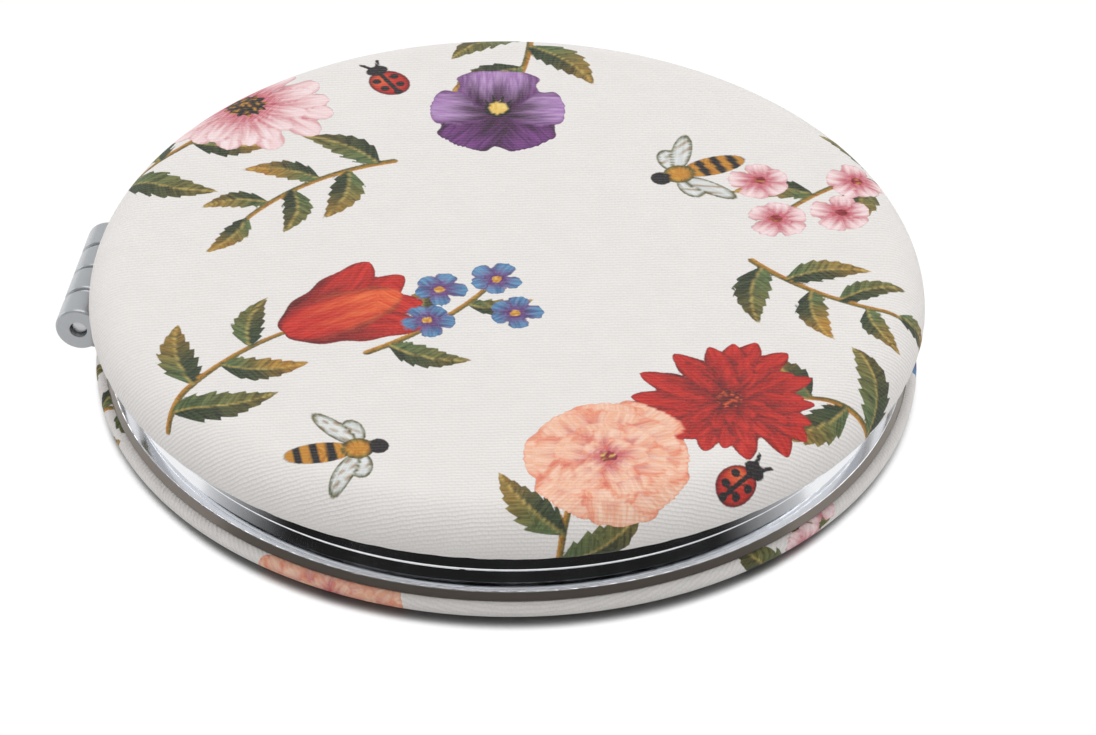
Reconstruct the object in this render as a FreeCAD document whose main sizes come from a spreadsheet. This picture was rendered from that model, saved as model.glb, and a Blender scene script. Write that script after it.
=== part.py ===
import FreeCAD, Part
import math
import os
import re
from collections import namedtuple

import Sketcher

# A round, padded compact mirror: two covered discs on chromed rings, joined by a barrel hinge.
# Millimetres. The origin is the middle of the flat underside, +Z is up and the hinge is at -X, with
# its pin along Y. Each half is laid out by depth: how far a level lies behind the parting plane,
# down in the base and up in the lid.

HALVES = ("base", "lid")

DIMENSIONS = {
    # Mirrors, put in from behind, with their mounting tape.
    "mirror_radius": "30.0",
    "mirror_thickness": "1.2",
    "mirror_clearance": "0.2",
    "magnifier_sag": "0.45",
    "mirror_tape_inset": "0.5",
    "mirror_tape_width": "11.5",
    # Cast rings: a leaning lip that meets the other half, longer on the lid and drawn in to a neck above its
    # rim, a ledge that falls away a little, and a wider, leaning band that carries the cover.
    "parting_gap": "0.2",
    "lip_skin": "0.8",
    "lip_height": "0.95",
    "lid_lip_extra": "1.0",
    "base_lip_lean": "0.4",
    "lid_rim_height": "0.2",
    "lid_neck_height": "1.0",
    "lid_neck_inset": "0.5",
    "lip_round": "0.12",
    "ledge_width": "1.3",
    "band_lean": "0.3",
    "ledge_fall": "0.15",
    "band_height": "0.9",
    "band_round": "0.08",
    "bezel_overlap": "0.7",
    "bezel_thickness": "0.55",
    "bezel_chamfer": "0.15",
    # Fabric covers, drawn over foam and tucked in behind the rings.
    "cover_radius": "35.0",
    "base_cover_step": "0.5",
    "fabric_thickness": "0.35",
    "roll_radius": "0.55",
    "hem_inner_radius": "31.0",
    "base_pad_depth": "1.4",
    "base_shoulder_radius": "0.8",
    "base_crown_width": "2.6",
    "lid_pad_depth": "4.2",
    "lid_shoulder_radius": "3.6",
    "lid_crown_width": "25.0",
    "soft_gap": "0.05",
    # Pressed steel shell and card board that stiffen each cover, and the tape behind its hem.
    "shell_radius": "33.0",
    "shell_thickness": "0.3",
    "shell_bend_radius": "0.5",
    "board_thickness": "0.5",
    "board_clearance": "0.05",
    "cover_tape_thickness": "0.1",
    "cover_tape_inset": "0.5",
    "cover_tape_margin": "0.8",
    # Hinge at the back.
    "pin_radius": "0.75",
    "pin_recess": "0.5",
    "pin_chamfer": "0.15",
    "press_clearance": "0.01",
    "running_clearance": "0.03",
    "knuckle_radius": "2.0",
    "knuckle_length": "3.0",
    "knuckle_split": "0.2",
    "knuckle_round": "0.25",
    "hinge_setback": "2.95",
    "web_gap": "0.2",
    "web_inset": "0.25",
    "web_bite": "1.25",
    "web_pin_wall": "0.25",
    "washer_inset": "0.25",
    "washer_thickness": "0.3",
    "washer_clearance": "0.05",
    # Closing magnets in the rings and soft stops on the base lip.
    "magnet_radius": "0.6",
    "magnet_length": "1.5",
    "magnet_wall": "0.25",
    "magnet_clearance": "0.03",
    "bumper_radius": "0.6",
    "bumper_inset": "1.45",
    "bumper_sink": "0.35",
    "bumper_stand": "0.15",
    "bumper_clearance": "0.03",
}

# Radii of the rings and of what they carry, from the mirror outwards.
MIRROR_SEAT = "(mirror_radius + mirror_clearance)"
BEZEL_RADIUS = "(mirror_radius - bezel_overlap)"
BUMPER_CIRCLE = f"({BEZEL_RADIUS} + bumper_inset)"
MAGNET_CIRCLE = f"({MIRROR_SEAT} + magnet_wall + magnet_radius)"
LIP_RADIUS = f"({MAGNET_CIRCLE} + magnet_radius + lip_skin)"
BAND_RADIUS = f"({LIP_RADIUS} + ledge_width)"
TAPE_OUTER = "(mirror_radius - mirror_tape_inset)"
TAPE_INNER = f"({TAPE_OUTER} - mirror_tape_width)"

# Radius of each half's cover.
COVER_RADIUS = {"base": "(cover_radius - base_cover_step)", "lid": "cover_radius"}

# Levels, as depths behind the parting plane. Those from the ledge on are each half's own.
LIP_FACE = "(parting_gap / 2)"
MIRROR_FACE = f"({LIP_FACE} + bezel_thickness)"
MIRROR_BACK = f"({MIRROR_FACE} + mirror_thickness)"
LEDGE = {
    "base": f"({LIP_FACE} + lip_height)",
    "lid": f"({LIP_FACE} + lip_height + lid_lip_extra)",
}
RING_BACK = {half: f"({LEDGE[half]} + band_height)" for half in HALVES}
HEM_FACE = {half: f"({RING_BACK[half]} + cover_tape_thickness)" for half in HALVES}
HEM_BACK = {half: f"({HEM_FACE[half]} + fabric_thickness)" for half in HALVES}
COVER_EDGE = {half: f"({HEM_FACE[half]} + roll_radius)" for half in HALVES}
BOARD_BACK = {half: f"({HEM_BACK[half]} + board_thickness)" for half in HALVES}
SHELL_BACK = {half: f"({BOARD_BACK[half]} + shell_thickness)" for half in HALVES}
PARTING_HEIGHT = f"({COVER_EDGE['base']} + base_pad_depth)"
MAGNIFIER_CURVE = "((mirror_radius^2 + magnifier_sag^2) / (2 * magnifier_sag))"

# Hinge: the pin lies behind the lips, and its pieces are spaced along it.
PIN_X = f"(0 - {LIP_RADIUS} - hinge_setback)"
WASHER_SPACE = "(washer_thickness + 2 * washer_clearance)"
INNER_KNUCKLE = "((knuckle_split + knuckle_length) / 2)"
WASHER_MIDDLE = f"(knuckle_split / 2 + knuckle_length + {WASHER_SPACE} / 2)"
OUTER_KNUCKLE = f"({WASHER_MIDDLE} + {WASHER_SPACE} / 2 + knuckle_length / 2)"
HINGE_LENGTH = f"(2 * {OUTER_KNUCKLE} + knuckle_length)"
BUMPER_COUNT = 3

# A corner is reached by a straight run, or by an arc where a centre and a radius are given.
Corner = namedtuple("Corner", "x z centre radius", defaults=(None, None))

doc = FreeCAD.newDocument("compact_mirror")
sheet = doc.addObject("Spreadsheet::Sheet", "Sheet")
for row, (alias, value) in enumerate(DIMENSIONS.items(), start=1):
    sheet.set(f"A{row}", alias)
    sheet.set(f"B{row}", value)
    sheet.setAlias(f"B{row}", alias)
doc.recompute()

pieces = []


def formula(text):
    """Point the dimension names in a formula at their cells."""
    return re.sub(r"\b(?!(?:sqrt|cos|sin|deg)\b)[a-z]\w+", r"Sheet.\g<0>", text)


def measure(text):
    """Work out a formula."""
    return float(sheet.evalExpression(formula(text)))


def height(half, depth):
    """Height of a level of one half."""
    sign = "-" if half == "base" else "+"
    return f"({PARTING_HEIGHT} {sign} {depth})"


def corner(half, x, depth, centre=None, radius=None):
    """Corner of an outline whose levels are depths of one half."""
    if centre is not None:
        centre = (centre[0], height(half, centre[1]))
    return Corner(x, height(half, depth), centre, radius)


def new_body(label):
    """Empty body for one piece."""
    body = doc.addObject("PartDesign::Body", label)
    body.Label = label
    pieces.append(body)
    return body


def new_sketch(body, name, role, offset="0"):
    """Sketch on one of the body's own planes, moved along that plane's normal."""
    plane = [item for item in body.Origin.OriginFeatures if item.Role == role][0]
    sketch = body.newObject("Sketcher::SketchObject", f"{body.Label}_{name}")
    sketch.AttachmentSupport = [(plane, "")]
    sketch.MapMode = "FlatFace"
    sketch.setExpression("AttachmentOffset.Base.z", formula(offset))
    return sketch


def tie(sketch, constraint, text):
    """Add a constraint whose value follows a formula."""
    index = sketch.addConstraint(constraint)
    sketch.setExpression(f"Constraints[{index}]", formula(text))


def tie_point(sketch, geometry, end, x, z):
    """Hold a point of the sketch at formulas."""
    tie(sketch, Sketcher.Constraint("DistanceX", -1, 1, geometry, end, measure(x)), x)
    tie(sketch, Sketcher.Constraint("DistanceY", -1, 1, geometry, end, measure(z)), z)


def draw_arc(sketch, start, finish, bend):
    """Arc of under a half turn, with its first and last point numbers."""
    centre = FreeCAD.Vector(measure(bend.centre[0]), measure(bend.centre[1]), 0)
    circle = Part.Circle(centre, FreeCAD.Vector(0, 0, 1), measure(bend.radius))
    turns_left = (start - centre).cross(finish - centre).z > 0
    first, last = (start, finish) if turns_left else (finish, start)
    angles = [math.atan2(point.y - centre.y, point.x - centre.x) for point in (first, last)]
    geometry = sketch.addGeometry(Part.ArcOfCircle(circle, *angles))
    tie(sketch, Sketcher.Constraint("Radius", geometry, measure(bend.radius)), bend.radius)
    return (geometry, 1, 2) if turns_left else (geometry, 2, 1)


def draw_outline(sketch, corners):
    """Closed outline through the corners."""
    points = [FreeCAD.Vector(measure(item.x), measure(item.z), 0) for item in corners]
    sides = []
    for index, item in enumerate(corners):
        if item.centre is None:
            line = Part.LineSegment(points[index - 1], points[index])
            sides.append((sketch.addGeometry(line), 1, 2))
        else:
            sides.append(draw_arc(sketch, points[index - 1], points[index], item))
    for index, (geometry, first, last) in enumerate(sides):
        before, unused, end_before = sides[index - 1]
        sketch.addConstraint(Sketcher.Constraint("Coincident", before, end_before, geometry, first))
        tie_point(sketch, geometry, last, corners[index].x, corners[index].z)


def draw_circle(sketch, x, z, radius):
    """Circle at formulas."""
    centre = FreeCAD.Vector(measure(x), measure(z), 0)
    circle = Part.Circle(centre, FreeCAD.Vector(0, 0, 1), measure(radius))
    geometry = sketch.addGeometry(circle)
    tie_point(sketch, geometry, 3, x, z)
    tie(sketch, Sketcher.Constraint("Radius", geometry, measure(radius)), radius)


def turn(body, corners):
    """Turn an outline about the compact's own axis."""
    sketch = new_sketch(body, "outline", "XZ_Plane")
    draw_outline(sketch, corners)
    solid = body.newObject("PartDesign::Revolution", f"{body.Label}_turned")
    solid.Profile = sketch
    solid.ReferenceAxis = (sketch, ["V_Axis"])
    solid.Angle = 360
    doc.recompute()
    return solid


def extrude(body, sketch, length):
    """Extrude a sketch equally to both sides of its plane."""
    solid = body.newObject("PartDesign::Pad", f"{sketch.Label}_solid")
    solid.Profile = sketch
    solid.SideType = "Symmetric"
    solid.setExpression("Length", formula(length))
    doc.recompute()
    return solid


def cut(body, sketch, length, upward):
    """Cut a blind pocket from a level sketch, and make sure that it took metal away."""
    before = body.Shape.Volume
    pocket = body.newObject("PartDesign::Pocket", f"{sketch.Label}_pocket")
    pocket.Profile = sketch
    pocket.Reversed = upward
    pocket.setExpression("Length", formula(length))
    doc.recompute()
    if not body.Shape.Volume < before:
        raise RuntimeError(f"{pocket.Label} cuts nothing")
    return pocket


def chamfer_ends(body, radius, size):
    """Chamfer a round bar's two end edges."""
    base = body.Tip
    names = []
    for index, edge in enumerate(base.Shape.Edges, start=1):
        if edge.Curve.TypeId == "Part::GeomCircle" and math.isclose(edge.Curve.Radius, radius):
            names.append(f"Edge{index}")
    chamfer = body.newObject("PartDesign::Chamfer", f"{body.Label}_chamfer")
    chamfer.Base = (base, names)
    chamfer.setExpression("Size", formula(size))
    doc.recompute()


def pad_surface(half, inset):
    """Outer surface of a padded cover, from its edge to its axis, or a surface that far inside it."""
    shoulder = f"{half}_shoulder_radius"
    rim = COVER_RADIUS[half]
    flat = f"({rim} - {half}_crown_width)"
    edge = COVER_EDGE[half]
    depth = f"{half}_pad_depth"
    reach = f"({half}_crown_width - {shoulder})"
    crown = f"(({reach}^2 + {depth}^2 - {shoulder}^2) / (2 * ({depth} - {shoulder})))"
    share = f"(({shoulder} - {inset}) / ({crown} - {shoulder}))"
    face = f"({edge} + {depth} - {inset})"
    shoulder_centre = (f"({rim} - {shoulder})", edge)
    crown_centre = (flat, f"({edge} + {depth} - {crown})")
    meeting = (f"({flat} + {reach} * (1 + {share}))", f"({edge} + ({crown} - {depth}) * {share})")
    return [
        corner(half, *meeting, shoulder_centre, f"({shoulder} - {inset})"),
        corner(half, flat, face, crown_centre, f"({crown} - {inset})"),
        corner(half, "0", face),
    ]


def rolled_edge(half, inset):
    """Rolled edge of a cover, from the hem side to its widest point."""
    rim = COVER_RADIUS[half]
    centre = (f"({rim} - roll_radius)", COVER_EDGE[half])
    return [
        corner(half, centre[0], f"({HEM_FACE[half]} + {inset})"),
        corner(half, f"({rim} - {inset})", COVER_EDGE[half], centre, f"(roll_radius - {inset})"),
    ]


def run_back(path):
    """The same path walked the other way, less its own first point."""
    bends = [(item.centre, item.radius) for item in path[1:]]
    places = [(item.x, item.z) for item in path[:-1]]
    return [Corner(*place, *bend) for place, bend in zip(reversed(places), reversed(bends))]


def make_fabric(half):
    """Printed cloth cover: one skin over the face, round the edge and in under the hem."""
    outside = rolled_edge(half, "0") + pad_surface(half, "0")
    inside = rolled_edge(half, "fabric_thickness") + pad_surface(half, "fabric_thickness")
    hem = [corner(half, "hem_inner_radius", level[half]) for level in (HEM_BACK, HEM_FACE)]
    axis_inside = Corner(inside[-1].x, inside[-1].z)
    turn(new_body(f"{half}_fabric"), outside + [axis_inside] + run_back(inside) + hem)


def make_foam(half):
    """Foam between the shell and the cloth, wrapped round the shell's rim."""
    inset = "(fabric_thickness + soft_gap)"
    rim = "(shell_radius + soft_gap)"
    floor = f"({SHELL_BACK[half]} + soft_gap)"
    under = [
        corner(half, "0", floor),
        corner(half, rim, floor),
        corner(half, rim, f"({HEM_FACE[half]} + {inset})"),
    ]
    turn(new_body(f"{half}_foam"), under + rolled_edge(half, inset) + pad_surface(half, inset))


def make_shell(half):
    """Pressed steel pan with a turned rim."""
    wall = "(shell_radius - shell_thickness)"
    bend = ("(shell_radius - shell_bend_radius)", f"({SHELL_BACK[half]} - shell_bend_radius)")
    rim = f"({HEM_BACK[half]} + soft_gap)"
    turn(new_body(f"{half}_shell"), [
        corner(half, "0", BOARD_BACK[half]),
        corner(half, wall, BOARD_BACK[half]),
        corner(half, wall, rim),
        corner(half, "shell_radius", rim),
        corner(half, "shell_radius", bend[1]),
        corner(half, bend[0], SHELL_BACK[half], bend, "shell_bend_radius"),
        corner(half, "0", SHELL_BACK[half]),
    ])


def make_board(half):
    """Card disc that closes the shell and traps the hem."""
    rim = "(shell_radius - shell_thickness - board_clearance)"
    turn(new_body(f"{half}_board"), [
        corner(half, "0", HEM_BACK[half]),
        corner(half, rim, HEM_BACK[half]),
        corner(half, rim, BOARD_BACK[half]),
        corner(half, "0", BOARD_BACK[half]),
    ])


def make_cover_tape(half):
    """Adhesive ring between the cover's hem and the back of the cast ring."""
    inner = f"({MIRROR_SEAT} + cover_tape_margin)"
    rim = f"({BAND_RADIUS} - cover_tape_inset)"
    turn(new_body(f"{half}_cover_tape"), [
        corner(half, inner, RING_BACK[half]),
        corner(half, rim, RING_BACK[half]),
        corner(half, rim, HEM_FACE[half]),
        corner(half, inner, HEM_FACE[half]),
    ])


def make_flat_mirror(half):
    """Plain mirror glass and the tape that holds it to the board."""
    turn(new_body(f"{half}_mirror"), [
        corner(half, "0", MIRROR_FACE),
        corner(half, "mirror_radius", MIRROR_FACE),
        corner(half, "mirror_radius", MIRROR_BACK),
        corner(half, "0", MIRROR_BACK),
    ])
    turn(new_body(f"{half}_mirror_tape"), [
        corner(half, TAPE_INNER, MIRROR_BACK),
        corner(half, TAPE_OUTER, MIRROR_BACK),
        corner(half, TAPE_OUTER, HEM_BACK[half]),
        corner(half, TAPE_INNER, HEM_BACK[half]),
    ])


def make_magnifier(half):
    """Bent magnifying mirror glass and its tape, which follows the glass."""
    face_centre = ("0", f"({MIRROR_FACE} + magnifier_sag - {MAGNIFIER_CURVE})")
    back_centre = ("0", f"({MIRROR_BACK} + magnifier_sag - {MAGNIFIER_CURVE})")
    turn(new_body(f"{half}_mirror"), [
        corner(half, "0", f"({MIRROR_FACE} + magnifier_sag)"),
        corner(half, "mirror_radius", MIRROR_FACE, face_centre, MAGNIFIER_CURVE),
        corner(half, "mirror_radius", MIRROR_BACK),
        corner(half, "0", f"({MIRROR_BACK} + magnifier_sag)", back_centre, MAGNIFIER_CURVE),
    ])
    depths = []
    for radius in (TAPE_INNER, TAPE_OUTER):
        depths.append(f"({back_centre[1]} + sqrt({MAGNIFIER_CURVE}^2 - {radius}^2))")
    turn(new_body(f"{half}_mirror_tape"), [
        corner(half, TAPE_INNER, depths[0]),
        corner(half, TAPE_OUTER, depths[1], back_centre, MAGNIFIER_CURVE),
        corner(half, TAPE_OUTER, HEM_BACK[half]),
        corner(half, TAPE_INNER, HEM_BACK[half]),
    ])


def add_web(body, half, name, place):
    """Web that carries a knuckle on the ring, a little shorter than the knuckle."""
    root = f"(web_bite - {LIP_RADIUS})"
    tip = f"({PIN_X} + pin_radius + web_pin_wall)"
    depth = "(knuckle_radius - web_inset)"
    sketch = new_sketch(body, f"{name}_web", "XZ_Plane", f"(0 - {place})")
    draw_outline(sketch, [
        corner(half, root, "web_gap"),
        corner(half, root, depth),
        corner(half, tip, depth),
        corner(half, tip, "web_gap"),
    ])
    extrude(body, sketch, "(knuckle_length - 2 * knuckle_round)")


def add_knuckle(body, name, place, bore):
    """Hinge knuckle with rounded ends, turned about the pin's axis."""
    wall = f"({PIN_X} - {bore})"
    shoulder = f"({PIN_X} - knuckle_radius + knuckle_round)"
    crown = f"({PIN_X} - knuckle_radius)"
    rear = f"({place} + knuckle_length / 2)"
    front = f"({place} - knuckle_length / 2)"
    rear_turn = (shoulder, f"({rear} - knuckle_round)")
    front_turn = (shoulder, f"({front} + knuckle_round)")
    sketch = new_sketch(body, name, "XY_Plane", PARTING_HEIGHT)
    draw_outline(sketch, [
        Corner(wall, front),
        Corner(wall, rear),
        Corner(shoulder, rear),
        Corner(crown, rear_turn[1], rear_turn, "knuckle_round"),
        Corner(crown, front_turn[1]),
        Corner(shoulder, front, front_turn, "knuckle_round"),
    ])
    ends = [FreeCAD.Vector(measure(PIN_X), measure(end), 0) for end in (front, rear)]
    line = sketch.addGeometry(Part.LineSegment(*ends), True)
    tie_point(sketch, line, 1, PIN_X, front)
    tie_point(sketch, line, 2, PIN_X, rear)
    barrel = body.newObject("PartDesign::Revolution", f"{sketch.Label}_turned")
    barrel.Profile = sketch
    barrel.ReferenceAxis = (sketch, ["Axis0"])
    barrel.Angle = 360
    doc.recompute()


def make_ring(half, knuckle_place, bore):
    """Cast ring with its two knuckles and the pocket for its magnet."""
    body = new_body(f"{half}_ring")
    lip_edge = LIP_RADIUS if half == "lid" else f"({LIP_RADIUS} - base_lip_lean)"
    lip_turn = (f"({lip_edge} - lip_round)", f"({LIP_FACE} + lip_round)")
    brink = f"({LEDGE[half]} + ledge_fall)"
    band_turn = (f"({BAND_RADIUS} - band_lean - band_round)", f"({brink} + band_round)")
    wall = [corner(half, LIP_RADIUS, LEDGE[half])]
    if half == "lid":
        rim = f"({LIP_FACE} + lid_rim_height)"
        neck = f"({LIP_RADIUS} - lid_neck_inset)"
        wall = [
            corner(half, LIP_RADIUS, rim),
            corner(half, neck, f"({rim} + lid_neck_height)"),
            corner(half, neck, LEDGE[half]),
        ]
    turn(body, [
        corner(half, BEZEL_RADIUS, f"({LIP_FACE} + bezel_chamfer)"),
        corner(half, f"({BEZEL_RADIUS} + bezel_chamfer)", LIP_FACE),
        corner(half, lip_turn[0], LIP_FACE),
        corner(half, lip_edge, lip_turn[1], lip_turn, "lip_round"),
        *wall,
        corner(half, band_turn[0], brink),
        corner(half, f"({BAND_RADIUS} - band_lean)", band_turn[1], band_turn, "band_round"),
        corner(half, BAND_RADIUS, RING_BACK[half]),
        corner(half, MIRROR_SEAT, RING_BACK[half]),
        corner(half, MIRROR_SEAT, MIRROR_FACE),
        corner(half, BEZEL_RADIUS, MIRROR_FACE),
    ])
    for name, place in (("rear_knuckle", knuckle_place), ("front_knuckle", f"(0 - {knuckle_place})")):
        add_web(body, half, name, place)
        add_knuckle(body, name, place, bore)
    seat = new_sketch(body, "magnet_seat", "XY_Plane", height(half, RING_BACK[half]))
    draw_circle(seat, MAGNET_CIRCLE, "0", "(magnet_radius + magnet_clearance)")
    cut(body, seat, "magnet_length", half == "base")
    return body


def add_bumper_seats(body):
    """Shallow seats for the soft stops, spaced evenly round the base lip."""
    seat = new_sketch(body, "bumper_seat", "XY_Plane", height("base", LIP_FACE))
    draw_circle(seat, BUMPER_CIRCLE, "0", "(bumper_radius + bumper_clearance)")
    pocket = cut(body, seat, "bumper_sink", False)
    pattern = body.newObject("PartDesign::PolarPattern", "bumper_seats")
    pattern.Originals = [pocket]
    pattern.Axis = ([item for item in body.Origin.OriginFeatures if item.Role == "Z_Axis"][0], [""])
    pattern.Angle = 360
    pattern.Occurrences = BUMPER_COUNT
    body.Tip = pattern
    doc.recompute()


def make_cylinder(label, radius, length, x, y, z):
    """Upright cylinder whose foot stands at formulas."""
    cylinder = doc.addObject("Part::Cylinder", label)
    cylinder.Label = label
    cylinder.setExpression("Radius", formula(radius))
    cylinder.setExpression("Height", formula(length))
    for axis, text in zip("xyz", (x, y, z)):
        cylinder.setExpression(f"Placement.Base.{axis}", formula(text))
    return cylinder


def make_magnet(half):
    """Small disc magnet, flush with the back of its ring."""
    back = height(half, RING_BACK[half])
    foot = back if half == "base" else f"({back} - magnet_length)"
    magnet = make_cylinder(f"{half}_magnet", "magnet_radius", "magnet_length", MAGNET_CIRCLE, "0", foot)
    pieces.append(magnet)


def make_bumpers():
    """Clear stops that keep the two rings apart, as one group."""
    foot = f"({height('base', LIP_FACE)} - bumper_sink)"
    stops = []
    for index in range(BUMPER_COUNT):
        angle = f"{360 * index / BUMPER_COUNT} deg"
        x = f"{BUMPER_CIRCLE} * cos({angle})"
        y = f"{BUMPER_CIRCLE} * sin({angle})"
        length = "(bumper_sink + bumper_stand)"
        stops.append(make_cylinder(f"stop_{index + 1}", "bumper_radius", length, x, y, foot))
    group = doc.addObject("Part::Compound", "bumpers")
    group.Label = "bumpers"
    group.Links = stops
    pieces.append(group)


def make_pin():
    """Hinge pin, a little shorter than the barrel."""
    body = new_body("hinge_pin")
    sketch = new_sketch(body, "section", "XZ_Plane")
    draw_circle(sketch, PIN_X, PARTING_HEIGHT, "pin_radius")
    extrude(body, sketch, f"({HINGE_LENGTH} - 2 * pin_recess)")
    chamfer_ends(body, measure("pin_radius"), "pin_chamfer")


def make_washer(label, place):
    """Friction washer between a base knuckle and a lid knuckle."""
    body = new_body(label)
    sketch = new_sketch(body, "section", "XZ_Plane", f"(0 - {place})")
    draw_circle(sketch, PIN_X, PARTING_HEIGHT, "(knuckle_radius - washer_inset)")
    draw_circle(sketch, PIN_X, PARTING_HEIGHT, "(pin_radius + running_clearance)")
    extrude(body, sketch, "washer_thickness")


base_ring = make_ring("base", OUTER_KNUCKLE, "(pin_radius + press_clearance)")
add_bumper_seats(base_ring)
make_ring("lid", INNER_KNUCKLE, "(pin_radius + running_clearance)")
make_pin()
make_washer("rear_washer", WASHER_MIDDLE)
make_washer("front_washer", f"(0 - {WASHER_MIDDLE})")
make_magnifier("base")
make_flat_mirror("lid")
make_bumpers()
for part_half in HALVES:
    make_fabric(part_half)
    make_foam(part_half)
    make_shell(part_half)
    make_board(part_half)
    make_cover_tape(part_half)
    make_magnet(part_half)
doc.recompute()

for item in doc.Objects:
    if {"Invalid", "Error"} & set(item.State):
        raise RuntimeError(f"{item.Label} failed: {item.State}")
os.makedirs("parts", exist_ok=True)
for piece in pieces:
    shape = piece.Shape
    if shape.isNull() or not shape.isValid():
        raise RuntimeError(f"{piece.Label} has no sound shape")
    shape.exportStep(f"parts/{piece.Label}.step")
    print(f"{piece.Label}: {len(shape.Solids)} solid, {shape.Volume:.1f} mm3")
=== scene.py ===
"""Looks of a round padded compact mirror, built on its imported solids.

Sizes of the covers and their print are in millimetres. Those of finishes, lamps and the table are in
metres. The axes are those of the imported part: +Z up through the closed case, the hinge at -X and its pin
along Y.
"""

import logging
import math
from dataclasses import dataclass, field
from enum import Enum
from typing import Optional, Sequence, Union

import bpy
import numpy as np
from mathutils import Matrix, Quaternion, Vector

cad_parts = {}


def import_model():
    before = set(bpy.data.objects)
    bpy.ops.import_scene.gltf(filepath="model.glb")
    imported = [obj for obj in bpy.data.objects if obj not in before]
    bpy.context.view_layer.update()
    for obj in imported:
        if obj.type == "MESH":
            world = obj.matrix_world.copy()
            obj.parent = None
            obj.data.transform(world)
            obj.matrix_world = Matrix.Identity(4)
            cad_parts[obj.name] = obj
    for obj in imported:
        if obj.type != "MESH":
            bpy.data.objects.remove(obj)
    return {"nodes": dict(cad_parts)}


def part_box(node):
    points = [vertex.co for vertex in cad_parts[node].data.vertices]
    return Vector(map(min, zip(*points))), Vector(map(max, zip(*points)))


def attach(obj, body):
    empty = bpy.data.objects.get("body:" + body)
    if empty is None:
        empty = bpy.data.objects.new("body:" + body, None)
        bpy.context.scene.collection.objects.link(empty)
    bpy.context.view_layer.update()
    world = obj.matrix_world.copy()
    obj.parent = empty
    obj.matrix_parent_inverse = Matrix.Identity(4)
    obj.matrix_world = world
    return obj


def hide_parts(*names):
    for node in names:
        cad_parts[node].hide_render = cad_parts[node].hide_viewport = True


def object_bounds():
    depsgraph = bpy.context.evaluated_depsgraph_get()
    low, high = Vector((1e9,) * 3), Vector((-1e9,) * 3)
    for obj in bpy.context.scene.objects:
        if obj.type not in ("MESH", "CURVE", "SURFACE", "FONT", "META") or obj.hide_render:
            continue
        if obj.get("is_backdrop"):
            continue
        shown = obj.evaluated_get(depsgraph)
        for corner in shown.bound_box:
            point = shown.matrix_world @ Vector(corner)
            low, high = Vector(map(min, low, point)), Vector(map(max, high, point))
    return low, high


MM = 0.001

log = logging.getLogger("compact")

Socket = bpy.types.NodeSocket
Feed = Union[Socket, float, tuple]

# Noise below the first value counts as lowest, and above the second as highest.
NOISE_SPREAD = (0.3, 0.7)


def smooth_step(low: float, high: float, value: np.ndarray) -> np.ndarray:
    """Ease values from 0 at low to 1 at high."""
    share = np.clip((value - low) / (high - low), 0.0, 1.0)
    return share * share * (3.0 - 2.0 * share)


def blend_colours(first: np.ndarray, second: np.ndarray, share: np.ndarray) -> np.ndarray:
    """Mix two colours by each point's share of the second."""
    return first + (second - first) * share[:, None]


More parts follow.
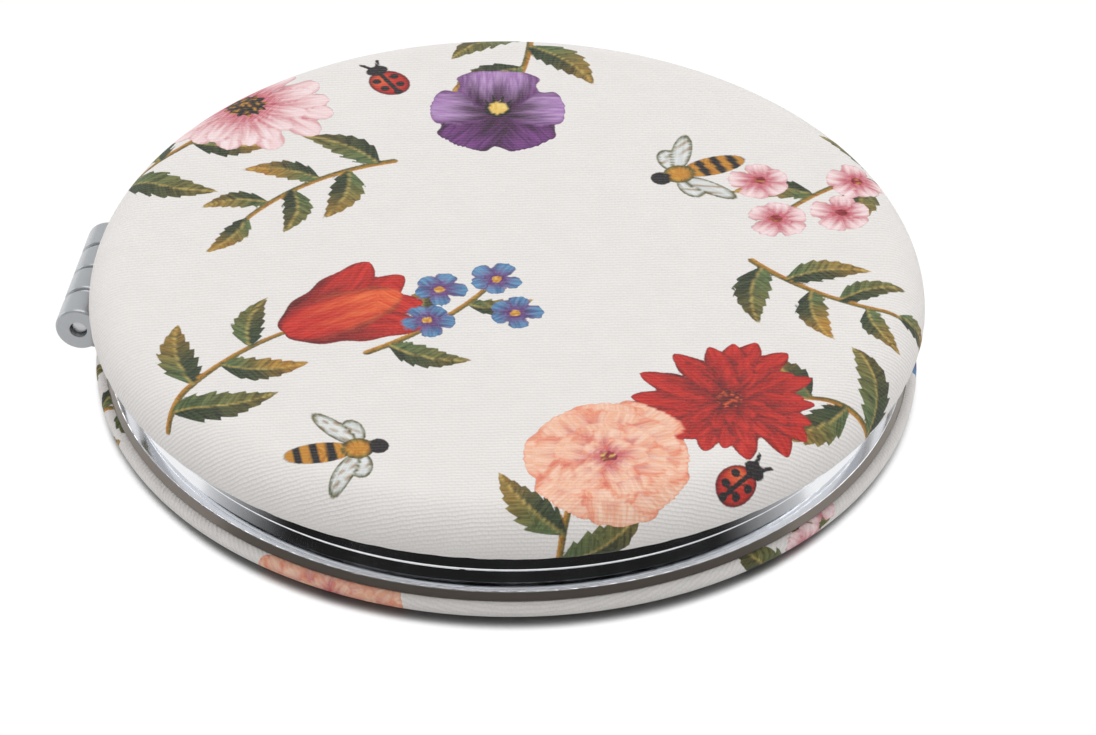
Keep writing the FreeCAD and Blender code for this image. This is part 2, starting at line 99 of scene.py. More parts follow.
class NodeBench:
    """Node tree of a material or of the room's light, with short calls for its nodes."""

    def __init__(self, name: str, room: bool = False) -> None:
        """Start a tree that holds one plain shader.

        Args:
            name: Name of the material or the room.
            room: Whether it is the room's light.
        """
        self.owner = (bpy.data.worlds if room else bpy.data.materials).new(name)
        self.owner.use_nodes = True
        self.tree = self.owner.node_tree
        self.shader = self.tree.nodes["Background" if room else "Principled BSDF"]

    def add(self, kind: str, *sources: Feed, **settings: object) -> bpy.types.Node:
        """Add a node.

        Args:
            kind: Blender's name of the node type.
            sources: What feeds its first inputs, in their order.
            settings: Properties to set on it.

        Returns:
            The node.
        """
        node = self.tree.nodes.new(kind)
        for name, value in settings.items():
            setattr(node, name, value)
        for socket, source in zip(node.inputs, sources):
            self.feed(socket, source)
        return node

    def feed(self, socket: Socket, source: Feed) -> None:
        """Link a socket to another, or set its own value.

        Args:
            socket: Input socket.
            source: Output socket, number, vector or colour.
        """
        if isinstance(source, bpy.types.NodeSocket):
            self.tree.links.new(source, socket)
        elif socket.type == "RGBA":
            socket.default_value = (*source, 1.0)
        else:
            socket.default_value = source

    def set(self, name: str, source: Feed) -> None:
        """Feed an input of the shader."""
        self.feed(self.shader.inputs[name], source)

    def math(self, operation: str, *sources: Feed) -> Socket:
        """Do one sum, by Blender's name of the operation."""
        return self.add("ShaderNodeMath", *sources, operation=operation).outputs[0]

    def vector(self, operation: str, *sources: Feed) -> Socket:
        """Do one sum with vectors, which gives a vector or a number."""
        output = "Value" if operation in ("LENGTH", "DOT_PRODUCT") else "Vector"
        return self.add("ShaderNodeVectorMath", *sources, operation=operation).outputs[output]

    def level(self, place: Socket) -> Socket:
        """A place without its height."""
        return self.vector("MULTIPLY", place, (1.0, 1.0, 0.0))

    def split(self, place: Socket) -> Sequence:
        """The three coordinates of a place."""
        return self.add("ShaderNodeSeparateXYZ", place).outputs

    def hump(self, value: Socket) -> Socket:
        """Rise from 0 to 1 and fall again over each unit of a value."""
        return self.math("SINE", self.math("MULTIPLY", self.math("FRACT", value), math.pi))

    def ease(self, value: Feed, low: float, high: float, start: float = 0.0, end: float = 1.0) -> Socket:
        """Ease from start to end as a value goes from low to high."""
        limits = (value, low, high, start, end)
        return self.add("ShaderNodeMapRange", *limits, interpolation_type="SMOOTHSTEP").outputs[0]

    def mix(self, share: Feed, first: Feed, second: Feed, way: str = "MIX") -> Socket:
        """Mix two colours.

        Args:
            share: How much of the second.
            first: First colour.
            second: Second colour.
            way: Blender's name of the blend.

        Returns:
            The mixed colour's socket.
        """
        node = self.add("ShaderNodeMix", share, data_type="RGBA", blend_type=way)
        self.feed(node.inputs[6], first)
        self.feed(node.inputs[7], second)
        return node.outputs[2]

    def noise(self, place: Socket, scale: float, detail: float) -> Socket:
        """Noise from 0 to 1.

        Args:
            place: Coordinates.
            scale: Lumps to a unit of the coordinates.
            detail: Octaves of finer lumps.

        Returns:
            The noise's socket.
        """
        node = self.add("ShaderNodeTexNoise", place)
        self.feed(node.inputs["Scale"], scale)
        self.feed(node.inputs["Detail"], detail)
        return node.outputs[0]

    def bump(self, height: Socket, distance: float) -> None:
        """Raise the surface.

        Args:
            height: Height from 0 to 1.
            distance: Metres for a height of 1.
        """
        node = self.add("ShaderNodeBump")
        self.feed(node.inputs["Distance"], distance)
        self.feed(node.inputs["Height"], height)
        self.set("Normal", node.outputs[0])

    def own_place(self) -> Socket:
        """Place on the piece in metres, which stays with the piece as it moves."""
        return self.add("ShaderNodeTexCoord").outputs["Object"]

    def grey(self, value: Socket) -> Socket:
        """A value as a grey colour."""
        return self.add("ShaderNodeCombineColor", value, value, value).outputs[0]

    def attribute(self, name: str, output: str) -> Socket:
        """Value that the mesh stores at its points."""
        return self.add("ShaderNodeAttribute", attribute_name=name).outputs[output]


@dataclass(frozen=True)
class GrainFinish:
    """Stuff of one colour with fine grain in its shine.

    Attributes:
        name: Name of the material.
        colour: Its colour.
        roughness: Least and greatest roughness.
        grain: Lumps to a metre along each axis.
        relief: Height of the grain in metres.
        nature: Further inputs of the shader with their values, such as those of a metal.
        detail: Octaves of finer lumps.
        spread: Noise at which the roughness is least and greatest.
    """

    name: str
    colour: tuple
    roughness: tuple
    grain: tuple = (900.0, 900.0, 900.0)
    relief: float = 0.0
    nature: tuple = (("Metallic", 1.0),)
    detail: float = 3.0
    spread: tuple = NOISE_SPREAD

    def make(self) -> bpy.types.Material:
        """Make the material.

        Returns:
            The material.
        """
        bench = NodeBench(self.name)
        bench.set("Base Color", self.colour)
        for name, value in self.nature:
            bench.set(name, value)
        grain = bench.noise(bench.vector("MULTIPLY", bench.own_place(), self.grain), 1.0, self.detail)
        bench.set("Roughness", bench.ease(grain, *self.spread, *self.roughness))
        if self.relief:
            bench.bump(grain, self.relief)
        return bench.owner


@dataclass(frozen=True)
class RingChrome:
    """Bright chrome on the rings, left satin on the hinge knuckles, and a dark painted shade on the bands.

    Attributes:
        name: Name of the material.
        bright: Reflected colour of the polished ring.
        satin: Reflected colour of the knuckles.
        painted_band_shade: Dark colour painted on the bands that carry the covers, a painted shade standing
            in for the shaded cloth that they reflect.
        bright_roughness: Least and greatest roughness of the polished ring.
        satin_roughness: Roughness of the knuckles.
        knuckle_line: Place along X, in metres, behind which the metal is satin.
        knuckle_fade: Width of that change, in metres.
        band: Least radius of the bands, in metres.
        band_metal: How far the bands look like bare metal, from 0 to 1, lowered to deepen their painted
            shade.
    """

    name: str
    bright: tuple
    satin: tuple
    painted_band_shade: tuple
    bright_roughness: tuple
    satin_roughness: float
    knuckle_line: float
    knuckle_fade: float
    band: float
    band_metal: float

    BAND_FADE = 0.00002
    SMEARS = 260.0
    SMEAR_SPREAD = (0.35, 0.75)
    PITS = 5200.0
    PIT_DEPTH = 0.000012

    def make(self) -> bpy.types.Material:
        """Make the material.

        Returns:
            The material.
        """
        bench = NodeBench(self.name)
        place = bench.own_place()
        line = self.knuckle_line
        satin = bench.ease(bench.split(place)[0], line - self.knuckle_fade, line, 1.0, 0.0)
        reach = bench.vector("LENGTH", bench.level(place))
        # Painted shade: the bands are coloured dark and made less metallic, standing in for the shaded cloth
        # that they reflect.
        on_band = bench.ease(reach, self.band, self.band + self.BAND_FADE)
        chrome_and_band_shade = bench.mix(on_band, self.bright, self.painted_band_shade)
        bench.set("Base Color", bench.mix(satin, chrome_and_band_shade, self.satin))
        bench.set("Metallic", bench.ease(on_band, 0.0, 1.0, 1.0, self.band_metal))
        smear = bench.noise(place, self.SMEARS, 4.0)
        polish = bench.ease(smear, *self.SMEAR_SPREAD, *self.bright_roughness)
        rough = bench.ease(satin, 0.0, 1.0, 0.0, self.satin_roughness)
        bench.set("Roughness", bench.math("MAXIMUM", polish, rough))
        bench.bump(bench.math("MULTIPLY", bench.noise(place, self.PITS, 2.0), satin), self.PIT_DEPTH)
        return bench.owner


@dataclass(frozen=True)
class DullFinish:
    """Card, foam, tape or other dull stuff with a mottled colour.

    Attributes:
        name: Name of the material.
        dark: Colour in the hollows.
        pale: Colour on the lumps.
        roughness: Roughness all over.
        lumps: Lumps to a metre.
        relief: Height of the lumps in metres.
    """

    name: str
    dark: tuple
    pale: tuple
    roughness: float
    lumps: float
    relief: float

    def make(self) -> bpy.types.Material:
        """Make the material.

        Returns:
            The material.
        """
        bench = NodeBench(self.name)
        lump = bench.noise(bench.own_place(), self.lumps, 3.0)
        bench.set("Base Color", bench.mix(bench.ease(lump, *NOISE_SPREAD), self.dark, self.pale))
        bench.set("Roughness", self.roughness)
        bench.bump(lump, self.relief)
        return bench.owner


class Layer(Enum):
    """Layers of ink on the cloth, from the lowest up."""

    GREENERY = "greenery"
    PETALS = "petals"
    MARKS = "marks"


class Ink(Enum):
    """Inks of the flower print, as sRGB bytes."""

    SCARLET = (206, 44, 32)
    BLOOD = (118, 14, 20)
    ORANGE = (232, 112, 58)
    PEACH = (246, 206, 182)
    BLUSH = (246, 226, 226)
    ROSE = (206, 100, 116)
    CRIMSON = (154, 34, 60)
    PLUM = (74, 28, 72)
    LILAC = (190, 154, 200)
    VIOLET = (122, 62, 132)
    SKY = (104, 156, 192)
    STRAW = (238, 208, 120)
    GOLD = (208, 152, 52)
    OCHRE = (160, 118, 54)
    OLIVE = (104, 102, 50)
    MOSS = (44, 66, 42)
    FERN = (112, 134, 82)
    SOOT = (36, 30, 34)
    CLOUD = (226, 228, 226)

    @property
    def linear(self) -> np.ndarray:
        """The ink as a linear colour."""
        share = np.array(self.value) / 255.0
        return np.where(share <= 0.04045, share / 12.92, ((share + 0.055) / 1.055) ** 2.4)


@dataclass(frozen=True)
class Spot:
    """Where a motif lies on the cloth.

    Attributes:
        x: Place to the right.
        y: Place away from the front.
        turn: Heading in degrees, anticlockwise from the right.
    """

    x: float
    y: float
    turn: float = 0.0

    @property
    def place(self) -> np.ndarray:
        """The spot as a pair."""
        return np.array([self.x, self.y])

    def local(self, points: np.ndarray) -> tuple:
        """Points as seen from the spot.

        Args:
            points: Places on the cloth.

        Returns:
            How far each lies along the heading, and how far to its left.
        """
        angle = math.radians(self.turn)
        away = points - self.place
        along = away[:, 0] * math.cos(angle) + away[:, 1] * math.sin(angle)
        across = away[:, 1] * math.cos(angle) - away[:, 0] * math.sin(angle)
        return along, across

    def step(self, along: float, across: float, turn: float = 0.0) -> "Spot":
        """Go to another spot.

        Args:
            along: How far ahead it lies.
            across: How far to the left.
            turn: Degrees that its heading differs, to the left.

        Returns:
            The other spot.
        """
        angle = math.radians(self.turn)
        x = self.x + along * math.cos(angle) - across * math.sin(angle)
        y = self.y + along * math.sin(angle) + across * math.cos(angle)
        return Spot(x, y, self.turn + turn)


@dataclass
class InkSheet:
    """Ink on the points of a piece of cloth.

    Attributes:
        points: Places on the flat cloth, one row each.
        depths: For each layer, how far each point lies inside a motif; below 0 is outside.
        colours: For each layer, the ink at each point.
        strokes: Place across and along the brush stroke at each point, with the stroke's number.
        count: Strokes laid so far.
    """

    points: np.ndarray
    depths: dict = field(default_factory=dict)
    colours: dict = field(default_factory=dict)
    strokes: Optional[np.ndarray] = None
    count: int = 0

    FAR = -3.0
    STROKE_STEP = 3.7

    def __post_init__(self) -> None:
        """Start with bare cloth."""
        count = len(self.points)
        self.strokes = np.zeros((count, 3))
        for layer in Layer:
            self.depths[layer] = np.full(count, self.FAR)
            self.colours[layer] = np.zeros((count, 3))

    def around(self, spot: Spot, reach: float, ahead: float = 0.0) -> tuple:
        """Points round a spot, or round a place ahead of it.

        Args:
            spot: Where they are seen from.
            reach: How far round they are taken.
            ahead: How far ahead of the spot their middle lies.

        Returns:
            Their numbers, how far each lies along the spot's heading, and how far to its left.
        """
        away = self.points - spot.step(ahead, 0.0).place
        index = np.flatnonzero((away**2).sum(axis=1) < reach * reach)
        return (index, *spot.local(self.points[index]))

    def lay(
        self,
        layer: Layer,
        index: np.ndarray,
        depth: np.ndarray,
        colour: np.ndarray,
        stroke: Optional[tuple] = None,
    ) -> None:
        """Lay ink over what is there.

        Args:
            layer: Layer that takes the ink.
            index: Numbers of the points.
            depth: How far each lies inside the motif.
            colour: Ink at each, or one ink for all.
            stroke: Place of each across and along the brush stroke.
        """
        before = self.depths[layer][index]
        takes = (depth > 0.0) | (depth > before)
        self.depths[layer][index] = np.maximum(before, depth)
        chosen = index[takes]
        self.colours[layer][chosen] = np.broadcast_to(colour, (len(index), 3))[takes]
        self.count += 1
        if stroke is not None:
            self.strokes[chosen, 0] = stroke[0][takes]
            self.strokes[chosen, 1] = stroke[1][takes]
            self.strokes[chosen, 2] = self.STROKE_STEP * self.count


def oval_depth(along: np.ndarray, across: np.ndarray, middle: tuple, half: tuple) -> np.ndarray:
    """How far points lie inside an oval of the given middle and half sizes, below 0 outside."""
    ratio = np.hypot((along - middle[0]) / half[0], (across - middle[1]) / half[1])
    return (1.0 - ratio) * min(half)


@dataclass(frozen=True)
class Petal:
    """One kind of petal, painted from its foot to its tip.

    Attributes:
        dark: Ink at the foot and in the folds.
        pale: Ink at the tip.
        edge: Ink along the edges.
        swell: How late the petal widens from its foot.
        taper: How early it narrows to its tip; small is blunt.
        shade: How strongly its edges and fold are drawn.
    """

    dark: Ink
    pale: Ink
    edge: Ink
    swell: float
    taper: float
    shade: float

    REACH = 0.62
    FRILL = 0.06
    FRILLS = 19.0
    VEINS = 9.0
    VEIN_LIMIT = 1.5
    VEIN_TONE = 0.22
    TONE_SPREAD = (0.08, 0.92)
    FOLD_WIDTH = (0.16, 0.0)
    FOLD_LENGTH = (0.95, 0.3)
    FOLD_SHADE = 0.7
    EDGE_WIDTH = (0.62, 1.0)
    LEAST_HALF = 0.05

    def paint(self, sheet: InkSheet, foot: Spot, length: float, width: float, curl: float = 0.0) -> None:
        """Paint one petal.

        Args:
            sheet: Cloth to paint on.
            foot: Foot of the petal, heading to its tip.
            length: Its length.
            width: Its greatest width.
            curl: How far its middle bows to the left.
        """
        index, along, across = sheet.around(foot, length * self.REACH + width / 2, length / 2)
        share = np.clip(along / length, 0.0, 1.0)
        across = across - curl * 4.0 * share * (1.0 - share)
        peak = self.swell / (self.swell + self.taper)
        most = peak**self.swell * (1.0 - peak) ** self.taper
        half = width / 2 * share**self.swell * (1.0 - share) ** self.taper / most
        frill = 1.0 + self.FRILL * np.sin(share * self.FRILLS + sheet.count)
        beyond = np.abs(along - np.clip(along, 0.0, length))
        depth = half * frill - np.abs(across) - beyond
        side = across / np.maximum(half, self.LEAST_HALF)
        aside = np.abs(side)
        veined = np.clip(side, -self.VEIN_LIMIT, self.VEIN_LIMIT)
        vein = 0.5 + 0.5 * np.sin(veined * self.VEINS + sheet.count)
        tone = smooth_step(*self.TONE_SPREAD, share + self.VEIN_TONE * (vein - 0.5))
        colour = blend_colours(self.dark.linear, self.pale.linear, tone)
        fold = smooth_step(*self.FOLD_WIDTH, aside) * smooth_step(*self.FOLD_LENGTH, share)
        colour = blend_colours(colour, self.dark.linear, self.FOLD_SHADE * self.shade * fold)
        rim = smooth_step(*self.EDGE_WIDTH, aside)
        colour = blend_colours(colour, self.edge.linear, self.shade * rim)
        sheet.lay(Layer.PETALS, index, depth, colour, (across, along))


@dataclass(frozen=True)
class Bloom:
    """Open flower of ring on ring of petals round an eye.

    Attributes:
        petal: Its kind of petal.
        rings: Rings of petals.
        count: Petals in the outer ring.
        fewer: How many fewer each further ring has.
        shrink: How much shorter each further ring is, as a share of the radius.
        breadth: Width of a petal as a share of its length.
        eye: Inks of the eye and its dots.
        eye_size: Radius of the eye as a share of the flower's.
    """

    petal: Petal
    rings: int
    count: int
    fewer: int
    shrink: float
    breadth: float
    eye: tuple
    eye_size: float

    UNEVEN_STEPS = (5.1, 2.3)
    UNEVEN_TURN = 7.0
    UNEVEN_LENGTH = 0.07
    UNEVEN_CURL = 0.05
    EYE_TEETH = 13
    EYE_TOOTH = 0.16
    EYE_REACH = 1.8
    EYE_DOTS = 8
    EYE_TWIST = 5.0
    EYE_RINGS = 7.5
    LEAST_EYE = 0.4
    DOT_SPREAD = (0.1, 0.8)
    EYE_STROKE = 2.0

    def paint(self, sheet: InkSheet, spot: Spot, radius: float) -> None:
        """Paint the flower, its outer petals first.

        Args:
            sheet: Cloth to paint on.
            spot: Its middle.
            radius: Its radius.
        """
        for ring in range(self.rings):
            count = self.count - ring * self.fewer
            for number in range(count):
                uneven = math.sin(number * self.UNEVEN_STEPS[0] + ring * self.UNEVEN_STEPS[1] + radius)
                turn = 360.0 * (number + 0.5 * ring) / count + self.UNEVEN_TURN * uneven
                length = radius * (1.0 - self.shrink * ring) * (1.0 + self.UNEVEN_LENGTH * uneven)
                foot = spot.step(0.0, 0.0, turn)
                curl = self.UNEVEN_CURL * length * uneven
                self.petal.paint(sheet, foot, length, length * self.breadth, curl)
        self.paint_eye(sheet, spot, radius * self.eye_size)

    def paint_eye(self, sheet: InkSheet, spot: Spot, radius: float) -> None:
        """Paint the dotted eye.

        Args:
            sheet: Cloth to paint on.
            spot: Its middle.
            radius: Its radius.
        """
        index, along, across = sheet.around(spot, radius * self.EYE_REACH)
        reach = np.hypot(along, across)
        angle = np.arctan2(across, along)
        rim = radius * (1.0 + self.EYE_TOOTH * np.cos(angle * self.EYE_TEETH))
        ring_wave = np.sin(reach * self.EYE_RINGS / max(radius, self.LEAST_EYE))
        wave = np.sin(angle * self.EYE_DOTS + reach * self.EYE_TWIST) * ring_wave
        colour = blend_colours(self.eye[0].linear, self.eye[1].linear, smooth_step(*self.DOT_SPREAD, wave))
        stroke = (across * self.EYE_STROKE, along * self.EYE_STROKE)
        sheet.lay(Layer.MARKS, index, rim - reach, colour, stroke)


DAHLIA_PETAL = Petal(Ink.BLOOD, Ink.SCARLET, Ink.BLOOD, 0.75, 0.7, 0.75)
DAISY_PETAL = Petal(Ink.ROSE, Ink.BLUSH, Ink.ROSE, 0.8, 0.35, 0.45)
PEONY_PETAL = Petal(Ink.ROSE, Ink.PEACH, Ink.ORANGE, 0.8, 0.28, 0.5)
CHERRY_PETAL = Petal(Ink.ROSE, Ink.BLUSH, Ink.ROSE, 0.7, 0.25, 0.5)
BLUET_PETAL = Petal(Ink.VIOLET, Ink.SKY, Ink.VIOLET, 0.7, 0.3, 0.5)


def paint_pansy(sheet: InkSheet, spot: Spot, radius: float) -> None:
    """Paint a five-petalled violet with a straw throat.

    Args:
        sheet: Cloth to paint on.
        spot: Middle of the flower, heading to its top.
        radius: Its radius.
    """
    rear = Petal(Ink.PLUM, Ink.VIOLET, Ink.PLUM, 0.6, 0.25, 0.7)
    front = Petal(Ink.PLUM, Ink.LILAC, Ink.VIOLET, 0.55, 0.25, 0.7)
    for turn, petal, size, breadth in (
        (32.0, rear, 1.0, 0.92),
        (-32.0, rear, 1.0, 0.92),
        (96.0, front, 0.92, 0.92),
        (-96.0, front, 0.92, 0.92),
        (180.0, front, 1.0, 1.12),
    ):
        petal.paint(sheet, spot.step(0.0, 0.0, turn), radius * size, radius * size * breadth)
    index, along, across = sheet.around(spot, radius)
    along, across = along / radius, across / radius
    angle = np.arctan2(across, along)
    whiskers = 15
    whisker = 0.30 * (0.5 + 0.5 * np.cos(angle * whiskers)) * smooth_step(0.2, -0.6, along)
    depth = (0.16 + whisker - np.hypot(along, across)) * radius * 0.7
    sheet.lay(Layer.MARKS, index, depth, Ink.SOOT.linear)
    throat = oval_depth(along, across, (-0.06, 0.0), (0.15, 0.13)) * radius
    sheet.lay(Layer.MARKS, index, throat, Ink.STRAW.linear)


def paint_tulip(sheet: InkSheet, spot: Spot, radius: float) -> None:
    """Paint a tulip seen from the side.

    Args:
        sheet: Cloth to paint on.
        spot: Foot of the flower, heading to its tip.
        radius: Half of its height.
    """
    rear = Petal(Ink.BLOOD, Ink.SCARLET, Ink.BLOOD, 0.45, 0.6, 0.6)
    front = Petal(Ink.SCARLET, Ink.ORANGE, Ink.BLOOD, 0.4, 0.55, 0.6)
    for turn, petal, size, breadth in (
        (9.0, rear, 1.95, 0.42),
        (-9.0, rear, 1.9, 0.42),
        (25.0, rear, 1.85, 0.42),
        (-25.0, rear, 1.8, 0.42),
        (0.0, front, 1.72, 0.50),
    ):
        curl = -math.copysign(0.1, turn) * radius if turn else 0.0
        petal.paint(sheet, spot.step(0.0, 0.0, turn), radius * size, radius * size * breadth, curl)


def paint_leaf(sheet: InkSheet, spot: Spot, length: float, width: float, curl: float, autumn: float) -> None:
    """Paint a toothed leaf, darker on one side of its rib.

    Args:
        sheet: Cloth to paint on.
        spot: Foot of the leaf, heading to its tip.
        length: Its length.
        width: Its greatest width.
        curl: How far its middle bows to the left.
        autumn: How far its tip has turned yellow, from 0 to 1.
    """
    index, along, across = sheet.around(spot, length * 0.7, length / 2)
    share = along / length
    within = np.clip(share, 0.0, 1.0)
    rib = across - curl * 4.0 * within * (1.0 - within)
    teeth = 6.5
    slant = 0.45
    notch = np.mod(within * teeth - np.abs(rib) * slant, 1.0)
    half = width / 2 * np.sin(math.pi * within**0.72) * (0.80 + 0.32 * notch)
    depth = half - np.abs(rib) - np.maximum(np.abs(share - 0.5) - 0.5, 0.0) * length
    vein = smooth_step(0.22, 0.02, notch)
    side = smooth_step(-0.12, 0.12, rib)
    dark = blend_colours(Ink.MOSS.linear, Ink.OLIVE.linear, 0.8 * within)
    pale = blend_colours(Ink.FERN.linear, Ink.OLIVE.linear, 0.5 * within)
    colour = blend_colours(dark, pale, 0.75 * side)
    colour = blend_colours(colour, Ink.GOLD.linear, autumn * smooth_step(0.35, 1.0, within + 0.25 * side))
    colour = blend_colours(colour, Ink.MOSS.linear, 0.55 * vein)
    colour = blend_colours(colour, Ink.STRAW.linear, 0.5 * smooth_step(0.17, 0.03, np.abs(rib)))
    sheet.lay(Layer.GREENERY, index, depth, colour, (along - 0.7 * np.abs(rib), rib))


def paint_stem(sheet: InkSheet, start: Spot, length: float, bend: float, width: float) -> Spot:
    """Paint a stem that bends evenly.

    Args:
        sheet: Cloth to paint on.
        start: Foot of the stem, with its heading.
        length: Its length.
        bend: Degrees that it turns to the left.
        width: Its width.

    Returns:
        The stem's tip, with its heading.
    """
    steps = 24
    stride = length / steps
    spot = start
    for number in range(steps):
        index, along, across = sheet.around(spot, stride + width + 0.8)
        beyond = along - np.clip(along, 0.0, stride)
        depth = width / 2 * (1.15 - 0.3 * number / steps) - np.hypot(beyond, across)
        tone = smooth_step(-width / 2, width / 2, across)
        colour = blend_colours(Ink.OLIVE.linear, Ink.GOLD.linear, tone)
        sheet.lay(Layer.GREENERY, index, depth, colour, (across, along))
        spot = spot.step(stride, 0.0, bend / steps)
    return spot


def paint_ladybird(sheet: InkSheet, spot: Spot, length: float) -> None:
    """Paint a small spotted beetle.

    Args:
        sheet: Cloth to paint on.
        spot: Its middle, heading forward.
        length: Its length.
    """
    index, along, across = sheet.around(spot, length)
    along, across = along / length, across / length
    shell = oval_depth(along, across, (-0.08, 0.0), (0.40, 0.34)) * length
    shine = smooth_step(0.3, 0.0, np.hypot(along - 0.05, across - 0.12))
    colour = blend_colours(Ink.SCARLET.linear, Ink.ORANGE.linear, shine)
    colour = blend_colours(colour, Ink.BLOOD.linear, smooth_step(0.5, 0.0, shell))
    sheet.lay(Layer.PETALS, index, shell, colour)
    marks = [oval_depth(along, across, (0.36, 0.0), (0.14, 0.20))]
    for place in ((0.06, 0.17), (0.06, -0.17), (-0.20, 0.15), (-0.20, -0.15), (-0.40, 0.0)):
        marks.append(oval_depth(along, across, place, (0.08, 0.08)))
    marks.append(0.042 - np.abs(across) - np.maximum(np.abs(along + 0.08) - 0.36, 0.0))
    for side in (-1, 1):
        feeler = 0.040 - np.abs(across - side * (0.06 + 0.5 * (along - 0.46)))
        marks.append(feeler - np.maximum(np.abs(along - 0.55) - 0.1, 0.0))
    for mark in marks:
        sheet.lay(Layer.MARKS, index, mark * length, Ink.SOOT.linear)


def paint_bee(sheet: InkSheet, spot: Spot, length: float) -> None:
    """Paint a striped bee with two pairs of wings.

    Args:
        sheet: Cloth to paint on.
        spot: Its middle, heading forward.
        length: Its length.
    """
    index, along, across = sheet.around(spot, length)
    along, across = along / length, across / length
    for side in (-1, 1):
        for reach, sweep in ((0.38, 0.05), (0.54, 0.55)):
            out = side * across
            leaning = along - 0.12 + sweep * out - 0.1
            depth = oval_depth(out, leaning, (reach / 2 + 0.06, 0.0), (reach / 2, 0.12)) * length
            vein = smooth_step(0.6, 1.0, np.cos(out * 42.0 + leaning * 30.0))
            wing = blend_colours(Ink.CLOUD.linear, Ink.OCHRE.linear, 0.7 * vein)
            wing = blend_colours(Ink.OLIVE.linear, wing, smooth_step(0.05, 0.3, depth))
            sheet.lay(Layer.GREENERY, index, depth, wing, (leaning * length, out * length))
    body = oval_depth(along, across, (-0.16, 0.0), (0.34, 0.15)) * length
    stripes = 38.0
    stripe = smooth_step(-0.2, 0.2, np.sin(along * stripes))
    sheet.lay(Layer.MARKS, index, body, blend_colours(Ink.SOOT.linear, Ink.GOLD.linear, stripe))
    chest = oval_depth(along, across, (0.22, 0.0), (0.16, 0.15)) * length
    fur = smooth_step(0.0, 0.6, chest)
    sheet.lay(Layer.MARKS, index, chest, blend_colours(Ink.OLIVE.linear, Ink.GOLD.linear, fur))
    head = oval_depth(along, across, (0.42, 0.0), (0.10, 0.11)) * length
    sheet.lay(Layer.MARKS, index, head, Ink.SOOT.linear)


class Flower(Enum):
    """Flowers that a sprig may bear."""

    DAHLIA = Bloom(DAHLIA_PETAL, 4, 17, 3, 0.2, 0.36, (Ink.BLOOD, Ink.ORANGE), 0.14)
    DAISY = Bloom(DAISY_PETAL, 2, 14, 1, 0.2, 0.34, (Ink.SOOT, Ink.GOLD), 0.23)
    PEONY = Bloom(PEONY_PETAL, 5, 8, 1, 0.17, 0.88, (Ink.CRIMSON, Ink.STRAW), 0.10)
    CHERRY = Bloom(CHERRY_PETAL, 1, 5, 0, 0.0, 0.92, (Ink.CRIMSON, Ink.GOLD), 0.2)
    BLUET = Bloom(BLUET_PETAL, 1, 5, 0, 0.0, 0.8, (Ink.GOLD, Ink.STRAW), 0.2)
    PANSY = "pansy"
    TULIP = "tulip"
    NONE = "none"


@dataclass(frozen=True)
class Sprig:
    """Stem with leaves and a flower.

    Attributes:
        root: Foot of the stem, with its heading.
        flower: Flower at its tip.
        size: Radius of the flower.
        length: Length of the stem.
        bend: Degrees that it turns to the left.
        leaves: How many leaves it bears.
        leaf: Length of its leaves.
    """

    root: Spot
    flower: Flower
    size: float
    length: float
    bend: float
    leaves: int = 4
    leaf: float = 8.6

    STEM_WIDTH = 0.55
    STEM_STEPS = 10
    LEAF_TURN = 52.0
    LEAF_TURN_LESS = 14.0
    LEAF_WIDTH = 0.40
    LEAF_CURL = 0.8
    PANSY_TURN = 25.0
    CLUSTER = ((0.0, 0.0), (-1.7, 1.5), (-1.5, -1.7), (-3.6, 0.9))
    CLUSTER_TURN = 40.0

    def paint(self, sheet: InkSheet) -> None:
        """Paint the sprig, its stem first.

        Args:
            sheet: Cloth to paint on.
        """
        tip = paint_stem(sheet, self.root, self.length, self.bend, self.STEM_WIDTH)
        for number in range(self.leaves):
            share = (number + 0.5) / (self.leaves + 0.5)
            side = 1 if number % 2 else -1
            foot = self.root
            for _ in range(self.STEM_STEPS):
                part = share / self.STEM_STEPS
                foot = foot.step(self.length * part, 0.0, self.bend * part)
            length = self.leaf * (1.1 - 0.4 * share)
            heading = foot.step(0.0, 0.0, side * (self.LEAF_TURN - self.LEAF_TURN_LESS * share))
            autumn = 0.15 + 0.6 * (number % 3) / 2
            paint_leaf(sheet, heading, length, self.LEAF_WIDTH * length, side * self.LEAF_CURL, autumn)
        if self.flower is Flower.NONE:
            paint_leaf(sheet, tip, 0.8 * self.leaf, 0.3 * self.leaf, 0.5, 0.6)
        elif self.flower is Flower.PANSY:
            paint_pansy(sheet, tip.step(0.0, 0.0, self.PANSY_TURN), self.size)
        elif self.flower is Flower.TULIP:
            paint_tulip(sheet, tip, self.size)
        elif self.flower in (Flower.CHERRY, Flower.BLUET):
            for along, across in self.CLUSTER:
                middle = tip.step(along * self.size, across * self.size, self.CLUSTER_TURN * along)
                self.flower.value.paint(sheet, middle, self.size)
        else:
            self.flower.value.paint(sheet, tip, self.size)


@dataclass(frozen=True)
class FlowerPrint:
    """Flower print as it falls on one cover.

    Attributes:
        sprigs: Its sprigs.
        beetles: Spots of its beetles.
        bees: Spots of its bees.
    """

    sprigs: tuple
    beetles: tuple
    bees: tuple

    BEETLE_LENGTH = 5.0
    BEE_LENGTH = 8.5

    def paint(self, points: np.ndarray) -> InkSheet:
        """Paint the whole print.

        Args:
            points: Places on the flat cloth.

        Returns:
            The painted sheet.
        """
        sheet = InkSheet(points)
        for sprig in self.sprigs:
            sprig.paint(sheet)
        for spot in self.beetles:
            paint_ladybird(sheet, spot, self.BEETLE_LENGTH)
        for spot in self.bees:
            paint_bee(sheet, spot, self.BEE_LENGTH)
        return sheet


